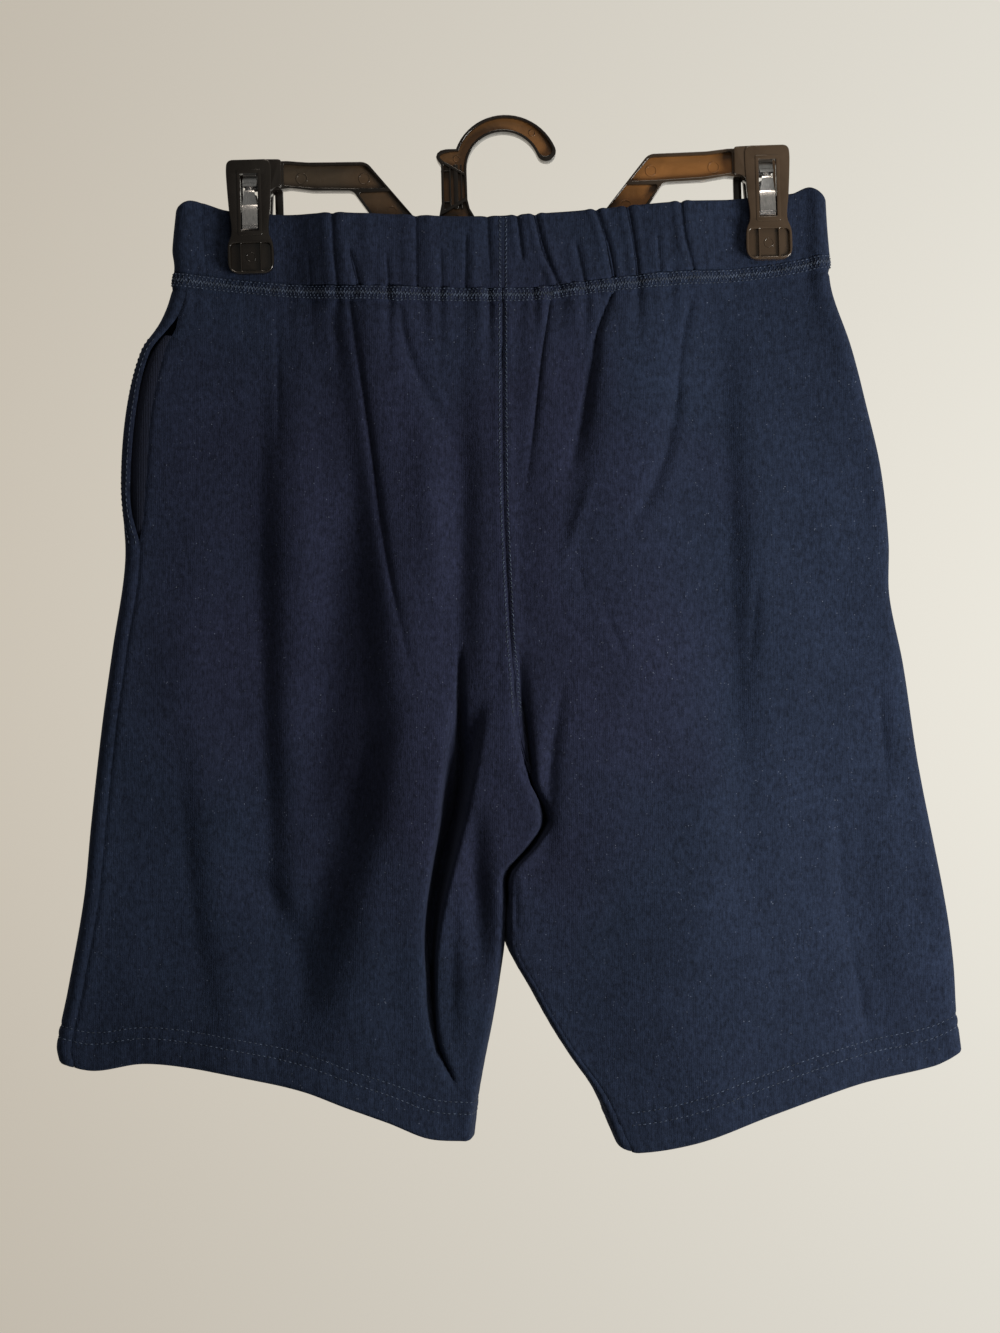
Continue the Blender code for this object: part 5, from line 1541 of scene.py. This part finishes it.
def plastic_finish(name, colour_at, low_gloss, high_gloss):
    """Glossy moulded plastic with faint flow marks and fine scratches."""
    material, shader, add, feed = new_finish(name)
    place = add("ShaderNodeTexCoord").outputs["Object"]
    flow = add("ShaderNodeTexNoise", {"Vector": place, "Scale": 38.0, "Detail": 3.0,
                                      "Distortion": 0.6})
    colour = colour_at(add, place)
    tone = add("ShaderNodeMapRange", {"Value": flow.outputs["Fac"], "From Min": 0.3,
                                      "From Max": 0.7, "To Min": 0.8, "To Max": 1.2})
    feed("Base Color", add("ShaderNodeVectorMath", {0: colour, "Scale": tone.outputs[0]},
                           operation="SCALE").outputs[0])
    long = add("ShaderNodeMapping", {"Vector": place, "Rotation": (0.0, 0.5, 0.0),
                                     "Scale": (1.0, 1.0, 0.05)})
    scratch = add("ShaderNodeTexNoise", {"Vector": long.outputs[0], "Scale": 1600.0, "Detail": 2.0})
    rough = add("ShaderNodeMapRange", {"Value": scratch.outputs["Fac"], "From Min": 0.35,
                                       "From Max": 0.75, "To Min": low_gloss, "To Max": high_gloss})
    feed("Roughness", rough.outputs[0])
    fine = add("ShaderNodeBump", {"Height": scratch.outputs["Fac"], "Strength": 0.05,
                                  "Distance": 0.0002})
    feed("Normal", add("ShaderNodeBump", {"Height": flow.outputs["Fac"], "Normal": fine.outputs[0],
                                          "Strength": 0.5, "Distance": 0.003}).outputs[0])
    shader.inputs["Specular IOR Level"].default_value = 0.5
    shader.inputs["Coat Weight"].default_value = 0.25
    shader.inputs["Coat Roughness"].default_value = 0.12
    return material


def moulded_plastic():
    """The hanger's rims and faces: black-brown, with painted warm light towards the lit right arm.
    """
    def colour_at(add, place):
        along = add("ShaderNodeSeparateXYZ", {0: place}).outputs["X"]
        # painted light: the colour goes from black-brown to warm brown towards the right, where the
        # lamps light the hanger
        share = add("ShaderNodeMapRange", {"Value": along, "From Min": 0.03, "From Max": 0.13})
        tint = bpy.context.scene.shorts_hanger
        return add("ShaderNodeMix", {0: share.outputs[0], 6: tuple(tint.plastic_colour),
                                     7: tuple(tint.painted_warm_light)}, data_type="RGBA").outputs[2]
    found = bpy.data.materials.get("moulded_plastic")
    return found or plastic_finish("moulded_plastic", colour_at, 0.10, 0.20)


def channel_plastic():
    """The thin webs of the channels, with painted warm light: brown on the left, amber on the lit
    right.
    """
    def colour_at(add, place):
        along = add("ShaderNodeSeparateXYZ", {0: place}).outputs["X"]
        # painted light: brown to amber from left to right stands for warm light caught in the
        # channels
        share = add("ShaderNodeMapRange", {"Value": along, "From Min": -0.09, "From Max": 0.07})
        tint = bpy.context.scene.shorts_hanger
        return add("ShaderNodeMix", {0: share.outputs[0], 6: tuple(tint.web_painted_glow),
                                     7: tuple(tint.web_painted_amber_light)}, data_type="RGBA").outputs[2]
    found = bpy.data.materials.get("channel_plastic")
    return found or plastic_finish("channel_plastic", colour_at, 0.16, 0.28)


def spring_steel():
    """Bright bent strip, brushed along its length."""
    found = bpy.data.materials.get("spring_steel")
    if found:
        return found
    material, shader, add, feed = new_finish("spring_steel")
    place = add("ShaderNodeTexCoord").outputs["Object"]
    long = add("ShaderNodeMapping", {"Vector": place, "Scale": (1.0, 1.0, 0.06)})
    brush = add("ShaderNodeTexNoise", {"Vector": long.outputs[0], "Scale": 2400.0, "Detail": 2.0})
    tone = add("ShaderNodeMix", {0: brush.outputs["Fac"], 6: (0.5, 0.5, 0.5, 1.0),
                                 7: (0.82, 0.82, 0.84, 1.0)}, data_type="RGBA")
    feed("Base Color", tone.outputs[2])
    rough = add("ShaderNodeMapRange", {"Value": brush.outputs["Fac"], "To Min": 0.14,
                                       "To Max": 0.32})
    feed("Roughness", rough.outputs[0])
    shader.inputs["Metallic"].default_value = 1.0
    return material


def floor_finish():
    """Plain pale floor, very slightly uneven."""
    stage = bpy.context.scene.shorts_stage
    material, shader, add, feed = new_finish("pale_floor")
    place = add("ShaderNodeTexCoord").outputs["Object"]
    soft = add("ShaderNodeTexNoise", {"Vector": place, "Scale": 3.0, "Detail": 3.0})
    tone = add("ShaderNodeMix", {0: soft.outputs["Fac"], 6: shade(stage.floor_colour, 0.97),
                                 7: shade(stage.floor_colour, 1.03)}, data_type="RGBA")
    feed("Base Color", tone.outputs[2])
    shader.inputs["Roughness"].default_value = 0.9
    shader.inputs["Specular IOR Level"].default_value = 0.2
    return material


# ------------------------------ the studio
KEY_LAMP_PLACE = (0.66, -0.52, -0.38)
KEY_LAMP_SIZE = 0.35
KEY_LAMP_COLOUR = (1.0, 0.96, 0.90)
TOP_LAMP_PLACE = (0.05, -0.60, 0.75)
TOP_LAMP_SIZE = 0.4
TOP_LAMP_COLOUR = (1.0, 0.86, 0.72)


def plain_floor():
    """A round pale floor well below the hung shorts."""
    stage = bpy.context.scene.shorts_stage
    mesh = bpy.data.meshes.new("floor")
    edit = bmesh.new()
    bmesh.ops.create_circle(edit, cap_ends=True, radius=stage.floor_radius, segments=96)
    edit.to_mesh(mesh)
    edit.free()
    mesh.materials.append(floor_finish())
    floor = bpy.data.objects.new("floor", mesh)
    floor.location.z = -stage.floor_drop
    bpy.context.scene.collection.objects.link(floor)


def soft_lamp(name, place, target, size, power, colour):
    """A square area lamp aimed at a place."""
    lamp = bpy.data.lights.new(name, "AREA")
    lamp.shape = "SQUARE"
    lamp.size = size
    lamp.energy = power
    lamp.color = colour
    item = bpy.data.objects.new(name, lamp)
    item.location = place
    item.rotation_euler = (Vector(target) - Vector(place)).to_track_quat("-Z", "Y").to_euler()
    bpy.context.scene.collection.objects.link(item)


def soft_surround():
    """A warm surround behind the shorts and a darker room before them, both dimmer on the left."""
    stage = bpy.context.scene.shorts_stage
    world = bpy.data.worlds.new("surround")
    bpy.context.scene.world = world
    world.use_nodes = True
    tree = world.node_tree

    def share(kind, socket, low, high, to_low=0.0, to_high=1.0):
        made = tree.nodes.new("ShaderNodeMapRange")
        made.interpolation_type = kind
        for name, value in (("From Min", low), ("From Max", high), ("To Min", to_low),
                            ("To Max", to_high)):
            made.inputs[name].default_value = value
        tree.links.new(socket, made.inputs["Value"])
        return made.outputs[0]

    def blend(amount, first, second):
        made = tree.nodes.new("ShaderNodeMix")
        made.data_type = "RGBA"
        tree.links.new(amount, made.inputs[0])
        for socket, value in ((made.inputs[6], first), (made.inputs[7], second)):
            if isinstance(value, bpy.types.NodeSocket):
                tree.links.new(value, socket)
            else:
                socket.default_value = value
        return made.outputs[2]

    place = tree.nodes.new("ShaderNodeTexCoord")
    split = tree.nodes.new("ShaderNodeSeparateXYZ")
    tree.links.new(place.outputs["Generated"], split.inputs[0])
    across, depth, height = split.outputs
    level = tree.nodes.new("ShaderNodeMath")
    level.operation = "ABSOLUTE"
    tree.links.new(height, level.inputs[0])
    behind = blend(share("LINEAR", across, -0.21, 0.21), stage.surround_dim, stage.surround_bright)
    fade = tree.nodes.new("ShaderNodeVectorMath")
    fade.operation = "SCALE"
    tree.links.new(behind, fade.inputs[0])
    tree.links.new(share("SMOOTHSTEP", level.outputs[0], 0.0, 0.35, 1.0, 0.88),
                   fade.inputs["Scale"])
    room = blend(share("SMOOTHSTEP", across, -0.7, 0.8), stage.room_dim, stage.room_bright)
    whole = blend(share("SMOOTHSTEP", depth, -0.15, 0.35), room, fade.outputs[0])
    tree.links.new(whole, tree.nodes["Background"].inputs["Color"])


def front_camera():
    """The camera, square to the hung shorts."""
    stage = bpy.context.scene.shorts_stage
    lens = bpy.data.cameras.new("camera")
    lens.sensor_fit = "VERTICAL"
    lens.sensor_height = 24.0
    lens.lens = lens.sensor_height * stage.camera_distance / stage.view_height
    camera = bpy.data.objects.new("camera", lens)
    camera.location = (stage.view_middle[0], -stage.camera_distance, stage.view_middle[1])
    camera.rotation_euler = (QUARTER, 0.0, 0.0)
    bpy.context.scene.collection.objects.link(camera)
    bpy.context.scene.camera = camera


# ------------------------------ what a user may change
class ShortsClothSettings(bpy.types.PropertyGroup):
    """Colour and softness of the cloth."""
    cloth_colour: FloatVectorProperty(
        name="Cloth", description="Colour of the fleece", subtype="COLOR", size=4, min=0.0,
        max=1.0, default=(0.0106, 0.0144, 0.0302, 1.0))
    sheen_colour: FloatVectorProperty(
        name="Nap light", description="Tint of the light that the nap catches", subtype="COLOR",
        size=4, min=0.0, max=1.0, default=(0.20, 0.26, 0.45, 1.0))
    nap_sheen: FloatProperty(
        name="Nap", description="How much light the nap catches", subtype="FACTOR", min=0.0,
        max=1.0, default=0.12)
    heather: FloatProperty(
        name="Heather", description="Unevenness of the dye from yarn to yarn", subtype="FACTOR",
        min=0.0, max=0.8, default=0.40)
    lint: FloatProperty(
        name="Lint", description="How pale the few flecks of lint are", subtype="FACTOR", min=0.0,
        max=1.0, default=0.5)
    lint_colour: FloatVectorProperty(
        name="Lint colour", description="Colour of the flecks of lint", subtype="COLOR", size=4,
        min=0.0, max=1.0, default=(0.16, 0.19, 0.26, 1.0))
    crease_strength: FloatProperty(
        name="Creases", description="Depth of the folds and creases, 1 as laid by hand",
        subtype="FACTOR", min=0.0, max=1.5, default=1.0)
    rumple: FloatProperty(
        name="Rumple", description="Soft unevenness of the hung cloth, 1 as laid by hand",
        subtype="FACTOR", min=0.0, max=3.0, default=1.0)


class ShortsStitchSettings(bpy.types.PropertyGroup):
    """Sizes and colour of the sewn work."""
    thread: FloatProperty(
        name="Thread", description="Thickness of the sewing thread", unit="LENGTH", min=0.0002,
        max=0.001, default=0.00058, precision=5)
    pitch: FloatProperty(
        name="Stitch", description="Length of a stitch in the hems' rows", unit="LENGTH",
        min=0.0015, max=0.006, default=0.0029, precision=4)
    band_height: FloatProperty(
        name="Waist seam", description="Height of the cover seam below the casing", unit="LENGTH",
        min=0.004, max=0.012, default=0.0074, precision=4)
    hem_depth: FloatProperty(
        name="Hem", description="Height of the hem's turned edge and of its upper row",
        unit="LENGTH", min=0.01, max=0.04, default=0.020, precision=4)
    hem_row_gap: FloatProperty(
        name="Twin rows", description="Distance between the hem's two rows", unit="LENGTH",
        min=0.003, max=0.01, default=0.0062, precision=4)
    centre_rows: FloatProperty(
        name="Centre rows", description="Distance between the centre seam's two rows",
        unit="LENGTH", min=0.002, max=0.008, default=0.0036, precision=4)
    groove: FloatProperty(
        name="Groove", description="How far a row of stitches pulls the cloth in", unit="LENGTH",
        min=0.0, max=0.001, default=0.0005, precision=5)
    thread_colour: FloatVectorProperty(
        name="Thread colour", description="Colour of the sewing thread", subtype="COLOR", size=4,
        min=0.0, max=1.0, default=(0.040, 0.056, 0.092, 1.0))


class ShortsHangerSettings(bpy.types.PropertyGroup):
    """Colours of the moulded hanger, and the painted warm light on its right arm and channel webs.
    """
    plastic_colour: FloatVectorProperty(
        name="Plastic", description="Black-brown of the rims and jaws", subtype="COLOR", size=4,
        min=0.0, max=1.0, default=(0.0085, 0.0066, 0.0052, 1.0))
    # painted warm light on the right arm and clip, not a colour of the plastic
    painted_warm_light: FloatVectorProperty(
        name="Lit plastic", description="The same on the lit right arm", subtype="COLOR", size=4,
        min=0.0, max=1.0, default=(0.048, 0.032, 0.020, 1.0))
    # painted warm light in the channels on the left
    web_painted_glow: FloatVectorProperty(
        name="Channels", description="Brown of the thin webs on the left", subtype="COLOR", size=4,
        min=0.0, max=1.0, default=(0.042, 0.030, 0.019, 1.0))
    # painted warm light in the channels on the right
    web_painted_amber_light: FloatVectorProperty(
        name="Lit channels", description="Amber of the thin webs on the right", subtype="COLOR",
        size=4, min=0.0, max=1.0, default=(0.21, 0.092, 0.026, 1.0))


class ShortsStageSettings(bpy.types.PropertyGroup):
    """The camera, the lamps, the surround and the floor."""
    camera_distance: FloatProperty(
        name="Distance", description="From the camera to the hanger's plane", unit="LENGTH",
        min=0.5, max=3.0, default=1.30)
    view_height: FloatProperty(
        name="View height", description="Height that the camera frames at the hanger's plane",
        unit="LENGTH", min=0.3, max=2.0, default=0.7240)
    view_middle: FloatVectorProperty(
        name="View middle", description="Middle of the view, across and up", size=2, unit="LENGTH",
        default=(-0.0011, -0.2895))
    key_power: FloatProperty(
        name="Key lamp", description="Power of the lamp in front, low on the right", unit="POWER",
        min=0.0, max=200.0, default=9.6)
    top_power: FloatProperty(
        name="Top lamp", description="Power of the warm lamp above", unit="POWER", min=0.0,
        max=200.0, default=3.6)
    surround_dim: FloatVectorProperty(
        name="Surround, left", description="Surround's colour on the left", subtype="COLOR",
        size=4, min=0.0, max=1.0, default=(0.60, 0.545, 0.46, 1.0))
    surround_bright: FloatVectorProperty(
        name="Surround, right", description="Surround's colour on the right", subtype="COLOR",
        size=4, min=0.0, max=1.0, default=(0.83, 0.80, 0.72, 1.0))
    room_dim: FloatVectorProperty(
        name="Room, left", description="Light that comes from the front on the left",
        subtype="COLOR", size=4, min=0.0, max=1.0, default=(0.065, 0.065, 0.065, 1.0))
    room_bright: FloatVectorProperty(
        name="Room, right", description="Light that comes from the front on the right",
        subtype="COLOR", size=4, min=0.0, max=1.0, default=(0.26, 0.25, 0.22, 1.0))
    floor_colour: FloatVectorProperty(
        name="Floor", description="Colour of the plain floor", subtype="COLOR", size=4, min=0.0,
        max=1.0, default=(0.72, 0.69, 0.63, 1.0))
    floor_radius: FloatProperty(
        name="Floor radius", description="Radius of the round floor", unit="LENGTH", min=0.3,
        max=3.0, default=0.70)
    floor_drop: FloatProperty(
        name="Floor drop", description="From the hook's crown down to the floor", unit="LENGTH",
        min=0.6, max=3.0, default=1.05)


# ------------------------------ the add-on
class SHORTS_OT_waistband(bpy.types.Operator):
    """Build the elastic casing at the waist"""
    bl_idname = "shorts.waistband"
    bl_label = "Waistband"

    def execute(self, context):
        waistband()
        return {"FINISHED"}


class SHORTS_OT_panels(bpy.types.Operator):
    """Build the four panels, hung in their folds, with their hems turned up"""
    bl_idname = "shorts.panels"
    bl_label = "Panels"

    def execute(self, context):
        for side in SIDES:
            for layer in LAYERS:
                cloth_panel(side, layer)
        return {"FINISHED"}


class SHORTS_OT_pockets(bpy.types.Operator):
    """Build the two side pockets' bags"""
    bl_idname = "shorts.pockets"
    bl_label = "Pocket bags"

    def execute(self, context):
        for side in SIDES:
            pocket_bag(side)
        return {"FINISHED"}


class SHORTS_OT_stitches(bpy.types.Operator):
    """Sew the waist seam, the centre seams, the hems and the pocket mouths"""
    bl_idname = "shorts.stitches"
    bl_label = "Stitches"

    def execute(self, context):
        waist_stitches()
        centre_stitches()
        hem_stitches()
        pocket_stitches()
        return {"FINISHED"}


class SHORTS_OT_hanger(bpy.types.Operator):
    """Build the moulded hanger with its clips and springs"""
    bl_idname = "shorts.hanger"
    bl_label = "Clip hanger"

    def execute(self, context):
        hanger()
        return {"FINISHED"}


class SHORTS_OT_stage(bpy.types.Operator):
    """Set the plain floor, the soft lamps, the surround and the camera"""
    bl_idname = "shorts.stage"
    bl_label = "Stage"

    def execute(self, context):
        stage = context.scene.shorts_stage
        low, high = (Vector(corner) for corner in CAD_BOUNDS)
        middle = (low + high) / 2
        plain_floor()
        soft_surround()
        soft_lamp("key_lamp", KEY_LAMP_PLACE, middle, KEY_LAMP_SIZE, stage.key_power,
                  KEY_LAMP_COLOUR)
        soft_lamp("top_lamp", TOP_LAMP_PLACE, middle, TOP_LAMP_SIZE, stage.top_power,
                  TOP_LAMP_COLOUR)
        front_camera()
        context.scene.view_settings.view_transform = "Standard"
        return {"FINISHED"}


OPERATORS = (SHORTS_OT_waistband, SHORTS_OT_panels, SHORTS_OT_pockets, SHORTS_OT_stitches,
             SHORTS_OT_hanger, SHORTS_OT_stage)
SETTINGS = {
    "shorts_cloth": ShortsClothSettings,
    "shorts_stitches": ShortsStitchSettings,
    "shorts_hanger": ShortsHangerSettings,
    "shorts_stage": ShortsStageSettings,
}


class SHORTS_PT_panel(bpy.types.Panel):
    """Settings and build steps of the lounge shorts"""
    bl_label = "Lounge Shorts"
    bl_idname = "SHORTS_PT_panel"
    bl_space_type = "VIEW_3D"
    bl_region_type = "UI"
    bl_category = "Shorts"

    def draw(self, context):
        for group, settings in SETTINGS.items():
            box = self.layout.box()
            for name in settings.__annotations__:
                box.prop(getattr(context.scene, group), name)
        for operator in OPERATORS:
            self.layout.operator(operator.bl_idname)


def register():
    """Add the settings, the build steps and their panel."""
    for group, settings in SETTINGS.items():
        bpy.utils.register_class(settings)
        setattr(bpy.types.Scene, group, PointerProperty(type=settings))
    for operator in OPERATORS:
        bpy.utils.register_class(operator)
    bpy.utils.register_class(SHORTS_PT_panel)


def unregister():
    """Take them away again."""
    bpy.utils.unregister_class(SHORTS_PT_panel)
    for operator in reversed(OPERATORS):
        bpy.utils.unregister_class(operator)
    for group, settings in SETTINGS.items():
        delattr(bpy.types.Scene, group)
        bpy.utils.unregister_class(settings)


def write_sizes():
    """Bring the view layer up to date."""
    bpy.context.view_layer.update()


def main():
    """Build every piece and the stage, in order."""
    register()
    bpy.ops.shorts.waistband()
    bpy.ops.shorts.panels()
    bpy.ops.shorts.pockets()
    bpy.ops.shorts.stitches()
    bpy.ops.shorts.hanger()
    bpy.ops.shorts.stage()
    write_sizes()


if __name__ == "__main__":
    main()
